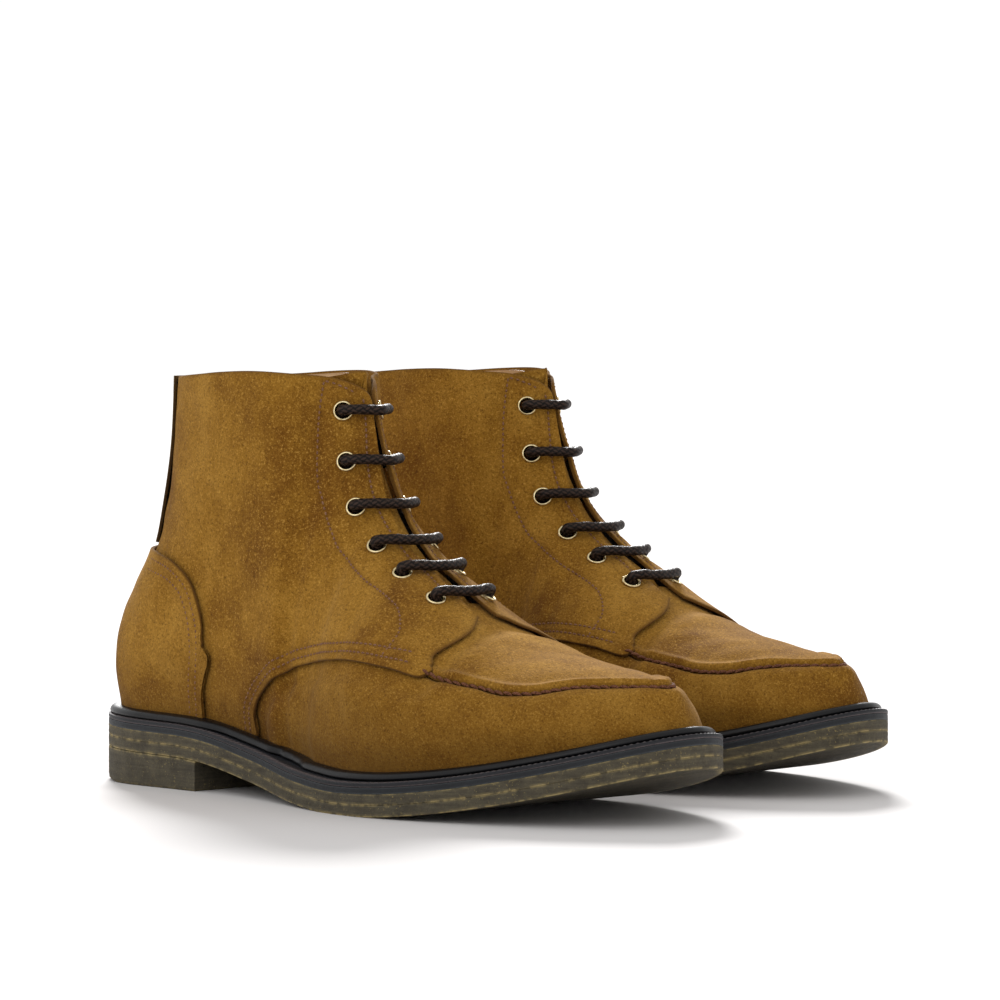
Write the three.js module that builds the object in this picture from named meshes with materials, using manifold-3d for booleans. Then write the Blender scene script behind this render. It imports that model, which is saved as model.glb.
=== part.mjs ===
// A pair of moc-toe lace-up ankle boots in suede, mm, +Z up, toes along +X.
// Each boot is worked out in its own frame: u forward from the back of the
// sole, v sideways towards the outside of the foot, w up from the ground.
import * as THREE from 'three';
import { mergeVertices } from 'three/addons/utils/BufferGeometryUtils.js';
import Module from 'manifold-3d';

const wasm = await Module();
wasm.setup();

// Overall sizes
const LAST_REAR = 6;
const LAST_FRONT = 294;
const SHAFT_HALF_BREADTH = 29.3;
const TONGUE_TOP = 160;
const HEEL_BREAST = 76;
const HEEL_BEVEL_LENGTH = 24;
const HEEL_BEVEL_RISE = 2.5;

// Leather and sole stack
const SUEDE = 1.4;
const LAYER_GAP = 0.6;
const SEAM_GAP = 0.5;
const UNDERLAP_SLACK = 0.55;
const OVERLAY_GAP = 0.9;
const STRIP = 1.1;
const STRIP_HALF = 17;
const LINING = 1.0;
const LINING_SLACK = 2.5;
const LINING_DROP = 1.3;
const BOND = 0.2;
const WELT = 1.9;
const MIDSOLE = 2.1;
const THROUGH_SOLE = 3.8;
const OUTSOLE = 4.2;
const SOLE_MARGIN = 6;
const INSOLE_INSET = 7.6;
const FOOTBED = 2;
const BOARD_RISE = 2.2;
const FEATHER_GAP = 0.25;

// Storm rand against the upper
const RAND_CLEARANCE = 1.5;
const RAND_WIDTH = 2.6;
const RAND_HEIGHT = 2.9;

// Facings, eyelets and lace
const LINING_EDGE_HALF = 24;
const TONGUE_HALF_WIDTH = 15.5;
const LACE_RADIUS = 1.5;
const EYELET_BORE = 2.7;
const EYELET_BARREL = 3.05;
const EYELET_RIM = 4.2;
const EYELET_HOLE = 3.35;
const EYELET_SEAT = 0.75;
const EYELET_UNDER = 1;
const LACE_CLEARANCE = 0.25;
const EYELET_ROWS = [[77.2, 13], [86, 14], [95.5, 14], [109.2, 12.8], [126, 11.2], [144.8, 9.4]];

// Where the left boot stands beside the right one
const LEFT_FORWARD = -31;
const LEFT_ASIDE = 113;
const LEFT_TURN_DEG = 5.5;

// Finishes
const suede = new THREE.MeshStandardMaterial({ name: 'tan_suede', color: 0x96692b, roughness: 0.95 });
const strip = new THREE.MeshStandardMaterial({ name: 'dark_suede', color: 0x6d4c22, roughness: 0.95 });
const calf = new THREE.MeshStandardMaterial({ name: 'lining_leather', color: 0xb59368, roughness: 0.8 });
const board = new THREE.MeshStandardMaterial({ name: 'fibre_board', color: 0x8f7b5c, roughness: 0.9 });
const blackRubber = new THREE.MeshStandardMaterial({ name: 'black_welt', color: 0x17181b, roughness: 0.45 });
const darkRubber = new THREE.MeshStandardMaterial({ name: 'dark_midsole', color: 0x25282d, roughness: 0.6 });
const crepe = new THREE.MeshStandardMaterial({ name: 'speckled_crepe', color: 0x57503f, roughness: 0.85 });
const brass = new THREE.MeshStandardMaterial({
  name: 'pale_brass', color: 0xb7a77e, roughness: 0.35, metalness: 1,
});
const waxed = new THREE.MeshStandardMaterial({ name: 'waxed_cord', color: 0x2a1d18, roughness: 0.5 });

// Smooth curve through sorted points, straight beyond both ends
function curve(knots) {
  const last = knots.length - 1;
  const slope = knots.map((k, i) => {
    const a = knots[Math.max(i - 1, 0)];
    const b = knots[Math.min(i + 1, last)];
    return (b[1] - a[1]) / (b[0] - a[0]);
  });
  return x => {
    let i = 0;
    while (i < last - 1 && x > knots[i + 1][0]) i += 1;
    const h = knots[i + 1][0] - knots[i][0];
    const raw = (x - knots[i][0]) / h;
    const t = Math.min(Math.max(raw, 0), 1);
    const s = 1 - t;
    const y = (1 + 2 * t) * s * s * knots[i][1] + t * s * s * h * slope[i]
      + t * t * (3 - 2 * t) * knots[i + 1][1] - t * t * s * h * slope[i + 1];
    return y + (raw - t) * h * (raw < 0 ? slope[i] : slope[i + 1]);
  };
}

function ease(from, to, x) {
  const t = Math.min(Math.max((x - from) / (to - from), 0), 1);
  return t * t * (3 - 2 * t);
}

// Shape of the last: seat line, centre line, breadths, ridge and back lines
const seat = curve([[0, 26.5], [40, 25.5], [76, 24.2], [110, 19], [140, 14.6], [165, 12.6], [180, 12.3],
  [200, 13.2], [225, 16], [250, 20.4], [275, 26.2], [300, 33.4]]);
const swing = curve([[0, 0], [75, 0], [120, 1], [180, 1.5], [240, -3.5], [293, -8]]);
const breadth = curve([[6, 28.2], [45, 28.2], [80, 29], [115, 32], [150, 41], [180, 47.5], [205, 47.8],
  [250, 42.5], [294, 39]]);
const ridge = curve([[100, 324], [120, 244], [130, 189], [140, 143], [150, 113], [165, 94], [180, 84],
  [200, 71.5], [225, 60.5], [250, 55.6], [270, 52.9], [285, 49.7], [294, 43.7], [302, 31.7]]);
const backLine = curve([[20, 6.4], [30, 6.4], [50, 5.4], [60, 7.3], [75, 14.4], [90, 24.7], [105, 29.4],
  [130, 34.2], [158, 35.5], [180, 35.5]]);
const heelRound = curve([[20, 34], [60, 36], [100, 45], [158, 55]]);
const ridgeRound = curve([[100, 50], [150, 48], [190, 34], [240, 25], [300, 22]]);
const toeRound = 72;

function quarterCircle(x) {
  return x < 1 ? 2 * x - x * x : 1;
}

// Squared half breadth of the upper's outer face at u, w
function breadthSquared(u, w) {
  const lift = w - seat(u);
  const flare = 1.2 * ease(4, 18, lift) * (1 - ease(30, 60, lift));
  const tuck = 1 - 0.055 * (1 - ease(0, 14, lift));
  const side = (breadth(u) + (SHAFT_HALF_BREADTH - breadth(u)) * ease(45, 120, w)) * tuck + flare;
  const slope = ridge(u + 0.5) - ridge(u - 0.5);
  const depth = (ridge(u) - w) / Math.hypot(1, slope);
  const front = quarterCircle(depth / ridgeRound(u));
  const pinch = 1 + 0.7 * ease(85, 145, w);
  const toe = quarterCircle((LAST_FRONT - 0.35 * Math.max(w - 34, 0) - u) / toeRound);
  const heel = quarterCircle((u - backLine(w)) / heelRound(w));
  const size = side * side * Math.abs(toe * heel) * Math.abs(front) ** pinch;
  return Math.min(toe, heel, front) < 0 ? -size : size;
}

function middle(u, w) {
  return swing(u) * (1 - ease(60, 120, w));
}

// Negative inside the upper, positive outside
function outside(u, v, w) {
  return (v - middle(u, w)) ** 2 - breadthSquared(u, w);
}

function normalAt([u, v, w]) {
  const h = 0.05;
  const n = new THREE.Vector3(
    outside(u + h, v, w) - outside(u - h, v, w),
    outside(u, v + h, w) - outside(u, v - h, w),
    outside(u, v, w + h) - outside(u, v, w - h));
  return n.normalize();
}

function offset(p, distance) {
  const n = normalAt(p);
  return [p[0] + n.x * distance, p[1] + n.y * distance, p[2] + n.z * distance];
}

// The same, kept above the welt
function layerPoint(p, distance) {
  const [u, v, w] = offset(p, distance);
  return [u, v, Math.max(w, seat(u) + FEATHER_GAP)];
}

function bisect(inside, low, high) {
  let a = low;
  let b = high;
  for (let i = 0; i < 40; i += 1) {
    const m = (a + b) / 2;
    if (inside(m)) a = m;
    else b = m;
  }
  return a;
}

function frontLine(w) {
  const toeLimit = LAST_FRONT - 0.35 * Math.max(w - 34, 0);
  return bisect(u => ridge(u) > w && u < toeLimit, 100, 300);
}

// Position on a level slice: turn 0 at the back line, pi at the front ridge
function onSlice(turn, w, side) {
  const rear = backLine(w);
  const front = frontLine(w);
  const u = (rear + front) / 2 - (front - rear) / 2 * Math.cos(turn);
  return [u, middle(u, w) + side * Math.sqrt(Math.max(breadthSquared(u, w), 0)), w];
}

function turnAt(u, w) {
  const rear = backLine(w);
  const front = frontLine(w);
  const c = ((rear + front) / 2 - u) / ((front - rear) / 2);
  return Math.acos(Math.min(Math.max(c, -1), 1));
}

// Turn at which the slice has closed in to a given half breadth near the ridge
function turnAtHalf(half, w) {
  return bisect(t => {
    const p = onSlice(t, w, 1);
    return p[1] - middle(p[0], w) > half;
  }, Math.PI * 0.55, Math.PI);
}

// Triangles, closed and facing outwards, from a list of points in u, v, w
function solid(points, faces) {
  const g = new THREE.BufferGeometry();
  const flat = points.flatMap(p => [p[0], -p[1], p[2]]);
  g.setAttribute('position', new THREE.Float32BufferAttribute(flat, 3));
  g.setIndex(faces.flat());
  const merged = mergeVertices(g, 1e-3);
  const pos = merged.attributes.position;
  const kept = [];
  let volume = 0;
  const [a, b, c] = [new THREE.Vector3(), new THREE.Vector3(), new THREE.Vector3()];
  const index = merged.index.array;
  for (let i = 0; i < index.length; i += 3) {
    const tri = [index[i], index[i + 1], index[i + 2]];
    if (new Set(tri).size < 3) continue;
    kept.push(tri);
    a.fromBufferAttribute(pos, tri[0]);
    b.fromBufferAttribute(pos, tri[1]);
    c.fromBufferAttribute(pos, tri[2]);
    volume += a.dot(b.cross(c));
  }
  merged.setIndex((volume < 0 ? kept.map(t => [t[0], t[2], t[1]]) : kept).flat());
  return merged;
}

// Closed sheet between two grids of points with the same rows and columns
function sheet(outer, inner) {
  const rows = outer.length;
  const cols = outer[0].length;
  const points = [...outer.flat(), ...inner.flat()];
  const id = (k, i, j) => k * rows * cols + i * cols + j;
  const faces = [];
  const quad = (a, b, c, d) => faces.push([a, b, c], [a, c, d]);
  for (let i = 0; i < rows - 1; i += 1) {
    for (let j = 0; j < cols - 1; j += 1) {
      quad(id(0, i, j), id(0, i + 1, j), id(0, i + 1, j + 1), id(0, i, j + 1));
      quad(id(1, i, j), id(1, i, j + 1), id(1, i + 1, j + 1), id(1, i + 1, j));
    }
    quad(id(0, i, 0), id(1, i, 0), id(1, i + 1, 0), id(0, i + 1, 0));
    quad(id(0, i, cols - 1), id(0, i + 1, cols - 1), id(1, i + 1, cols - 1), id(1, i, cols - 1));
  }
  for (let j = 0; j < cols - 1; j += 1) {
    quad(id(0, 0, j), id(0, 0, j + 1), id(1, 0, j + 1), id(1, 0, j));
    quad(id(0, rows - 1, j), id(1, rows - 1, j), id(1, rows - 1, j + 1), id(0, rows - 1, j + 1));
  }
  return solid(points, faces);
}

// Evenly spaced points along a smooth line through knots of [turn, w]
function trace(knots, count) {
  const line = new THREE.SplineCurve(knots.map(k => new THREE.Vector2(k[0] * 60, k[1])));
  return line.getSpacedPoints(count).map(p => [p.x / 60, p.y]);
}

function knotsFrom(list) {
  return list.map(([u, w]) => [turnAt(u, w), w]);
}

// The same along a smooth line through the list, for an edge that bends
function bentKnots(list, count) {
  const line = new THREE.SplineCurve(list.map(k => new THREE.Vector2(k[0], k[1])));
  return knotsFrom(line.getSpacedPoints(count).map(p => [p.x, p.y]));
}

// Grid on one side of the boot between a lower and an upper line; a lean
// over 1 keeps a column upright near its foot
function sideGrid(lower, upper, columns, rows, side, depth, lean = () => 1) {
  const low = trace(lower, columns);
  const high = trace(upper, columns);
  return low.map((a, i) => Array.from({ length: rows + 1 }, (unused, j) => {
    const t = j / rows;
    const w = a[1] + (high[i][1] - a[1]) * t;
    const p = onSlice(a[0] + (high[i][0] - a[0]) * t ** lean(i / columns), w, side);
    return layerPoint(p, typeof depth === 'function' ? depth(p) : depth);
  }));
}

// The same, carried round the back line from the inner side to the outer side
function wrapGrid(lower, upper, columns, rows, depth) {
  const outer = sideGrid(lower, upper, columns, rows, 1, depth);
  const inner = sideGrid(lower, upper, columns, rows, -1, depth);
  return [...inner.slice(1).reverse(), ...outer];
}

function featherKnots(list) {
  return list.map(u => [turnAt(u, seat(u) + FEATHER_GAP), seat(u) + FEATHER_GAP]);
}

// Edge of the quarter over the vamp: arc from the welt to the tab's lower tip
const ARC = [[104.5, 21.5], [105.5, 29], [109.5, 36.5], [118, 43.8], [129, 49.3], [141, 52.2], [155, 54.2],
  [174, 55.6], [190, 54.2], [205, 51.4]];
const TAB_TIP = [208, 51.6];
const TAB_CORNER_HEIGHT = 70.5;

// Distance in side view in front of the quarter's lower edge, negative under it
function aheadOfQuarter(u, w) {
  const corner = frontLine(TAB_CORNER_HEIGHT);
  const line = [[104.5, 0], ...ARC, TAB_TIP, [corner, TAB_CORNER_HEIGHT], [corner - 12, 84]];
  let best = 1e9;
  let covered = false;
  for (let i = 0; i < line.length - 1; i += 1) {
    const [a, b] = [line[i], line[i + 1]];
    const d = [b[0] - a[0], b[1] - a[1]];
    const t = ((u - a[0]) * d[0] + (w - a[1]) * d[1]) / (d[0] ** 2 + d[1] ** 2);
    const k = Math.min(Math.max(t, 0), 1);
    best = Math.min(best, Math.hypot(u - a[0] - d[0] * k, w - a[1] - d[1] * k));
  }
  const edge = curve(ARC);
  if (u < 104.5) covered = true;
  else if (u < 205) covered = w > edge(u);
  else {
    const slope = (TAB_TIP[0] - corner) / (TAB_CORNER_HEIGHT - TAB_TIP[1]);
    covered = w > 51.5 && u < TAB_TIP[0] - (w - TAB_TIP[1]) * slope;
  }
  return covered ? -best : best;
}

// The vamp dips by one layer to pass under the quarter
function vampDip([u, , w]) {
  return -(SUEDE + LAYER_GAP + UNDERLAP_SLACK) * (1 - ease(4, 11, aheadOfQuarter(u, w)));
}

// Height of the moc seam, and of the hidden top edge of the vamp behind it
const seamHeight = curve([[96, 38], [110, 47], [130, 56], [160, 60], [190, 58.5], [207, 53.2], [217, 50.2],
  [228, 48.4], [240, 46.8], [250, 46.3], [262, 46.6], [271, 47.8], [279, 48.9], [286, 49.2]]);
const toePivot = 232;

// Point on the upper at height w along a level ray from the centre line
function onRay(along, w) {
  const u0 = Math.min(along.u, toePivot);
  const v0 = middle(u0, w);
  const reach = bisect(r => outside(u0 + along.du * r, v0 + along.dv * r, w) < 0, 0, 110);
  return [u0 + along.du * reach, v0 + along.dv * reach, w];
}

// Rays from the rear of the vamp on one side, round the toe, to the other
function vampRays(rear, sideSteps, toeSteps) {
  const rays = [];
  for (let i = 0; i < sideSteps; i += 1) {
    rays.push({ u: rear + (toePivot - rear) * i / sideSteps, du: 0, dv: 1 });
  }
  for (let i = 0; i <= toeSteps; i += 1) {
    const t = i / toeSteps;
    const angle = Math.PI / 2 * (t + 0.16 * Math.sin(Math.PI * 2 * t) / 2);
    rays.push({ u: toePivot + 54 * Math.sin(angle), du: Math.sin(angle), dv: Math.cos(angle) });
  }
  return [...rays, ...rays.slice(0, -1).reverse().map(r => ({ ...r, dv: -r.dv }))];
}

function seamPoint(ray, rise) {
  return onRay(ray, seamHeight(ray.u) + rise);
}

function vamp() {
  const rows = 5;
  const grid = depth => vampRays(97, 10, 8).map(ray => Array.from({ length: rows + 1 }, (unused, j) => {
    const top = seamHeight(ray.u) - SEAM_GAP / 2;
    const foot = bisect(w => w < seat(onRay(ray, w)[0]) + FEATHER_GAP, 8, 45);
    const p = onRay(ray, foot + (top - foot) * j / rows);
    return layerPoint(p, vampDip(p) - depth);
  }));
  return sheet(grid(0), grid(SUEDE));
}

function topHeight(u, v, low) {
  return bisect(w => outside(u, v, w) < 0, low, ridge(u) + 4);
}

function apron() {
  const across = 8;
  const rays = vampRays(191, 4, 8);
  const rise = SEAM_GAP / 2;
  const edges = rays.slice(0, (rays.length - 1) / 2).map(ray => [
    seamPoint(ray, rise), seamPoint({ ...ray, dv: -ray.dv }, rise)]);
  const tip = seamPoint(rays[(rays.length - 1) / 2], rise);
  edges.push(edges[edges.length - 1].map(p => p.map((x, k) => x + (tip[k] - x) * 0.7)));
  const grid = depth => edges.map(([a, b]) => {
    return Array.from({ length: across + 1 }, (unused, j) => {
      const t = 0.5 - 0.5 * Math.cos(Math.PI * j / across);
      const u = a[0] + (b[0] - a[0]) * t;
      const v = a[1] + (b[1] - a[1]) * t;
      const w = j === 0 || j === across ? a[2] : topHeight(u, v, Math.min(a[2], ridge(u) - 0.5));
      const p = [u, v, w];
      return offset(p, vampDip(p) - depth);
    });
  });
  return sheet(grid(0), grid(SUEDE));
}

// Half the gap between the two facings at each height
const facingGap = curve([[70, 3.6], [106, 3.4], [116, 2.9], [128, 1.8], [140, 1.1], [149, 0.8]]);

function quarterLines() {
  const low = [...featherKnots([9, 20, 40, 65, 90]), ...knotsFrom(ARC), ...knotsFrom([TAB_TIP])];
  low[0] = [0.012, low[0][1]];
  const top = [[36, 156.2], [60, 157.8], [85, 159.2], [103, 159.6], [118, 158.6], [128, 157], [135, 153.8]];
  const edge = [149, 140, 128, 116, 106, 96, 87, 79, TAB_CORNER_HEIGHT];
  const high = [...knotsFrom(top), ...edge.map(w => [turnAtHalf(facingGap(w), w), w])];
  high[0] = [0.012, high[0][1]];
  return [low, high];
}

function eyeletSpot(row, side) {
  const [w, half] = EYELET_ROWS[row];
  return onSlice(turnAtHalf(half, w), w, side);
}

function toManifold(geometry) {
  const g = geometry.index ? geometry.clone() : geometry;
  g.deleteAttribute('normal');
  g.deleteAttribute('uv');
  const m = mergeVertices(g, 1e-4);
  const mesh = new wasm.Mesh({
    numProp: 3,
    vertProperties: new Float32Array(m.attributes.position.array),
    triVerts: new Uint32Array(m.index.array),
  });
  return new wasm.Manifold(mesh);
}

function fromManifold(m) {
  const mesh = m.getMesh();
  const g = new THREE.BufferGeometry();
  g.setAttribute('position', new THREE.BufferAttribute(new Float32Array(mesh.vertProperties), 3));
  g.setIndex(new THREE.BufferAttribute(new Uint32Array(mesh.triVerts), 1));
  return mergeVertices(g, 1e-3);
}

// Turn a geometry built along +Z so that it stands on the surface at a spot
function standOn(geometry, spot) {
  const n = normalAt(spot);
  const outward = new THREE.Vector3(n.x, -n.y, n.z);
  const q = new THREE.Quaternion().setFromUnitVectors(new THREE.Vector3(0, 0, 1), outward);
  return geometry.applyQuaternion(q).translate(spot[0], -spot[1], spot[2]);
}

function eyeletPunch(spot) {
  const cylinder = new THREE.CylinderGeometry(EYELET_HOLE, EYELET_HOLE, 8, 10);
  return toManifold(standOn(cylinder.rotateX(Math.PI / 2), spot));
}

function quarter(side) {
  const [low, high] = quarterLines();
  const upright = s => 1 + ease(0.25, 0.42, s) * (1 - ease(0.55, 0.8, s));
  const grid = depth => sideGrid(low, high, 22, 8, side, -depth, upright);
  let body = toManifold(sheet(grid(0), grid(SUEDE)));
  for (let row = 0; row < EYELET_ROWS.length; row += 1) {
    body = body.subtract(eyeletPunch(eyeletSpot(row, side)));
  }
  return fromManifold(body);
}

function eyelet(row, side) {
  const under = -SUEDE - EYELET_UNDER;
  const face = EYELET_SEAT + 0.55;
  const profile = [[EYELET_BORE + 0.3, under], [EYELET_BARREL + 0.6, under], [EYELET_BARREL, under + 0.4],
    [EYELET_BARREL, EYELET_SEAT], [EYELET_RIM, EYELET_SEAT], [EYELET_RIM - 0.5, face], [EYELET_BORE + 0.2, face],
    [EYELET_BORE, -0.6], [EYELET_BORE + 0.3, under]];
  const ring = new THREE.LatheGeometry(profile.map(p => new THREE.Vector2(p[0], p[1])), 10);
  return fromManifold(toManifold(standOn(ring.rotateX(Math.PI / 2), eyeletSpot(row, side))));
}

function heelCounter() {
  const low = [[0, seat(8) + FEATHER_GAP], ...featherKnots([14, 30, 52, 73.5]),
    ...knotsFrom([[75.3, 36], [76, 44]])];
  const bend = [[40, 89.6], [56, 87], [66, 81.5], [71.5, 74.5], [75, 66], [76.4, 56]];
  const high = [[0, 91], ...bentKnots(bend, 12)];
  const grid = depth => wrapGrid(low, high, 11, 6, depth);
  return sheet(grid(OVERLAY_GAP + SUEDE), grid(OVERLAY_GAP));
}

function heelStiffener() {
  const low = [[0, seat(8) + FEATHER_GAP], ...featherKnots([14, 30, 52, 80])];
  const high = [[0, 62], ...knotsFrom([[30, 61], [52, 54], [68, 42], [79, 34]])];
  const grid = depth => wrapGrid(low, high, 8, 3, -depth);
  return sheet(grid(SUEDE + OVERLAY_GAP), grid(2 * SUEDE + OVERLAY_GAP));
}

function backStrip() {
  const line = [93, 101, 110, 122, 138, 156];
  const grid = depth => line.map(w => [-1, -0.75, -0.5, -0.25, 0, 0.25, 0.5, 0.75, 1].map(k => {
    const inside = t => Math.abs(onSlice(t, w, 1)[1] - middle(backLine(w), w)) < Math.abs(k) * STRIP_HALF;
    const turn = bisect(inside, 0, 1);
    return offset(onSlice(k === 0 ? 0 : turn, w, Math.sign(k) || 1), depth);
  }));
  return sheet(grid(LAYER_GAP + STRIP), grid(LAYER_GAP));
}

function lining() {
  const low = [[0, seat(8) + FEATHER_GAP], ...featherKnots([14, 34, 60, 88])];
  const edge = [152, 140, 126, 112, 101, 95].map(w => [turnAtHalf(LINING_EDGE_HALF, w), w]);
  const high = [[0, 156], ...knotsFrom([[60, 156.8], [85, 157.8], [104, 157.8]]), ...edge];
  const layerStep = SUEDE + LAYER_GAP;
  const sink = w => layerStep + LINING_SLACK + LINING_DROP * (1 - ease(64, 82, w));
  const grid = depth => wrapGrid(low, high, 12, 9, p => -sink(p[2]) - depth);
  return sheet(grid(0), grid(LINING));
}

// Depth of the tongue's front face behind the outer face of the facings
const tongueDepth = curve([[66, 4.6], [69.5, 4.6], [74, 6.7], [80, 6.8], [144, 6.8], [150, 5.4], [156, 3.2],
  [160, 1.8]]);

function tongue() {
  const levels = [67.5, 70, 73, 78, 84, 92, 101, 112, 124, 136, 146, 153, TONGUE_TOP];
  const grid = depth => levels.map(level => [-1, -0.66, -0.33, 0, 0.33, 0.66, 1].map(k => {
    const w = level - 3 * k * k * ease(140, TONGUE_TOP, level);
    const half = (TONGUE_HALF_WIDTH - 2.5 * ease(150, TONGUE_TOP, w)) * Math.abs(k);
    const turn = k === 0 ? Math.PI : turnAtHalf(half, w);
    return offset(onSlice(turn, w, Math.sign(k) || 1), -tongueDepth(w) - depth);
  }));
  return sheet(grid(0), grid(SUEDE));
}

// One cord: six straight bars over the facings, joined behind them
function lace() {
  const above = LACE_RADIUS + 0.75;
  const below = -SUEDE - EYELET_UNDER - LACE_RADIUS - LACE_CLEARANCE;
  const beside = EYELET_BARREL + 0.6 + LACE_RADIUS + LACE_CLEARANCE;
  const path = [];
  const add = (w, half, side, depth) => {
    const turn = half > 0 ? turnAtHalf(half, w) : Math.PI;
    path.push(offset(onSlice(turn, w, side), depth));
  };
  const through = (row, side, sequence) => {
    const spot = eyeletSpot(row, side);
    sequence.forEach(d => path.push(offset(spot, d)));
  };
  const lastRow = EYELET_ROWS.length - 1;
  const [firstW, firstHalf] = EYELET_ROWS[0];
  const [topW, topHalf] = EYELET_ROWS[lastRow];
  add(firstW + 24, firstHalf + beside, 1, below);
  add(firstW + 14, firstHalf + beside, 1, below);
  add(firstW + 6, firstHalf + beside * 0.9, 1, below);
  for (let row = 0; row <= lastRow; row += 1) {
    const [w, half] = EYELET_ROWS[row];
    const from = row % 2 ? -1 : 1;
    through(row, from, [below + 0.4, -0.6, above + 0.35]);
    add(w, half * 0.7, from, above + 1.1);
    add(w, half * 0.36, from, above + 0.6);
    add(w, 0, from, above + 0.6);
    add(w, half * 0.36, -from, above + 0.6);
    add(w, half * 0.7, -from, above + 1.1);
    through(row, -from, [above + 0.35, -0.6, below + 0.4]);
    if (row < lastRow) {
      const [nextW, nextHalf] = EYELET_ROWS[row + 1];
      add(w + (nextW - w) * 0.35, half + (nextHalf - half) * 0.35, -from, below);
      add(w + (nextW - w) * 0.65, half + (nextHalf - half) * 0.65, -from, below);
    }
  }
  const end = lastRow % 2 ? 1 : -1;
  add(topW - 6, topHalf + beside * 0.8, end, below);
  add(topW - 16, topHalf + beside + 0.6, end, below);
  add(topW - 30, topHalf + beside + 1, end, below);
  const line = new THREE.CatmullRomCurve3(path.map(p => new THREE.Vector3(p[0], -p[1], p[2])), false, 'centripetal');
  const ring = new THREE.Shape();
  ring.absarc(0, 0, LACE_RADIUS, 0, Math.PI * 2);
  const tube = new THREE.ExtrudeGeometry(ring, { steps: 120, curveSegments: 4, bevelEnabled: false, extrudePath: line });
  return fromManifold(toManifold(tube));
}

// Plan outline of the sole edge or of the foot of the upper, round from the
// back, grown outwards by a given amount
function outline(count, half, grow) {
  const points = [];
  for (let i = 0; i < count; i += 1) {
    const turn = Math.PI * 2 * i / count;
    const u = (LAST_REAR + LAST_FRONT) / 2 - (LAST_FRONT - LAST_REAR) / 2 * Math.cos(turn);
    points.push([u, swing(u) + Math.sign(Math.sin(turn)) * half(u)]);
  }
  points[0][1] = swing(LAST_REAR);
  points[count / 2][1] = swing(LAST_FRONT);
  return points.map((p, i) => {
    const a = points[(i + count - 1) % count];
    const b = points[(i + 1) % count];
    const d = [b[0] - a[0], b[1] - a[1]];
    const length = Math.hypot(d[0], d[1]);
    const out = typeof grow === 'function' ? grow(p[0]) : grow;
    return [p[0] - d[1] / length * out, p[1] + d[0] / length * out];
  });
}

function soleHalf(u) {
  const rear = quarterCircle((u - LAST_REAR) / 34);
  const toe = quarterCircle((LAST_FRONT - u) / toeRound);
  return breadth(u) * Math.sqrt(Math.max(rear * toe, 0));
}

function footHalf(rise) {
  return u => Math.sqrt(Math.max(breadthSquared(u, seat(u) + rise), 0));
}

const SOLE_POINTS = 48;

// Flat layer inside an outline, between two heights measured at each point
function plate(points, top, bottom) {
  const count = points.length;
  const half = count / 2;
  const row = i => {
    const a = points[i];
    const b = points[(count - i) % count];
    const at = (p, z) => [p[0], p[1], z(p[0])];
    return { top: [at(a, top), at(b, top)], bottom: [at(a, bottom), at(b, bottom)] };
  };
  const rows = Array.from({ length: half + 1 }, (unused, i) => row(i));
  return sheet(rows.map(r => r.top), rows.map(r => r.bottom));
}

// Closed ring round the boot from a profile of [outward, height above the seat]
function ring(base, profile) {
  const count = base.length;
  const sides = profile.length;
  const points = [];
  for (let i = 0; i < count; i += 1) {
    const a = base[(i + count - 1) % count];
    const b = base[(i + 1) % count];
    const d = [b[0] - a[0], b[1] - a[1]];
    const length = Math.hypot(d[0], d[1]);
    for (const [out, rise] of profile) {
      const u = base[i][0] - d[1] / length * out;
      points.push([u, base[i][1] + d[0] / length * out, seat(u) + rise]);
    }
  }
  const faces = [];
  for (let i = 0; i < count; i += 1) {
    for (let j = 0; j < sides; j += 1) {
      const [p, q] = [i * sides, ((i + 1) % count) * sides];
      const k = (j + 1) % sides;
      faces.push([p + j, q + j, q + k], [p + j, q + k, p + k]);
    }
  }
  return solid(points, faces);
}

const soleBase = WELT + BOND + MIDSOLE + BOND + THROUGH_SOLE + BOND;

function layer(top, thickness) {
  return plate(outline(SOLE_POINTS, soleHalf, SOLE_MARGIN), u => seat(u) - top, u => seat(u) - top - thickness);
}

function treadHeight(u) {
  return Math.max(0, seat(u) - soleBase - OUTSOLE);
}

function outsole() {
  return plate(outline(SOLE_POINTS, soleHalf, SOLE_MARGIN), u => seat(u) - soleBase, treadHeight);
}

function heelBlock() {
  const all = outline(SOLE_POINTS, soleHalf, SOLE_MARGIN);
  const rear = all.slice(0, SOLE_POINTS / 2).filter(p => p[0] < HEEL_BREAST - 4);
  const inner = rear.map((p, i) => all[(SOLE_POINTS - i) % SOLE_POINTS]);
  const breastAt = (list, from) => [HEEL_BREAST, from[from.length - 1][1] + 0 * list.length];
  const lats = [...rear, breastAt(all, rear)];
  const meds = [...inner, breastAt(all, inner)];
  const bevel = u => HEEL_BEVEL_RISE * Math.max(0, HEEL_BEVEL_LENGTH - u) / HEEL_BEVEL_LENGTH;
  const at = (p, z) => [p[0], p[1], z(p[0])];
  const top = u => treadHeight(u) - BOND;
  return sheet(lats.map((p, i) => [at(p, top), at(meds[i], top)]), lats.map((p, i) => [at(p, bevel), at(meds[i], bevel)]));
}

function welt() {
  const feet = outline(SOLE_POINTS, footHalf(0.5), -INSOLE_INSET + 0.5);
  const edge = outline(SOLE_POINTS, soleHalf, SOLE_MARGIN);
  const points = [];
  edge.forEach((p, i) => {
    const q = feet[i];
    points.push([...p, seat(p[0])], [...p, seat(p[0]) - WELT], [...q, seat(q[0]) - WELT], [...q, seat(q[0])]);
  });
  const faces = [];
  const count = edge.length;
  for (let i = 0; i < count; i += 1) {
    for (let j = 0; j < 4; j += 1) {
      const [p, q] = [i * 4, ((i + 1) % count) * 4];
      const k = (j + 1) % 4;
      faces.push([p + j, q + j, q + k], [p + j, q + k, p + k]);
    }
  }
  return solid(points, faces);
}

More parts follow.
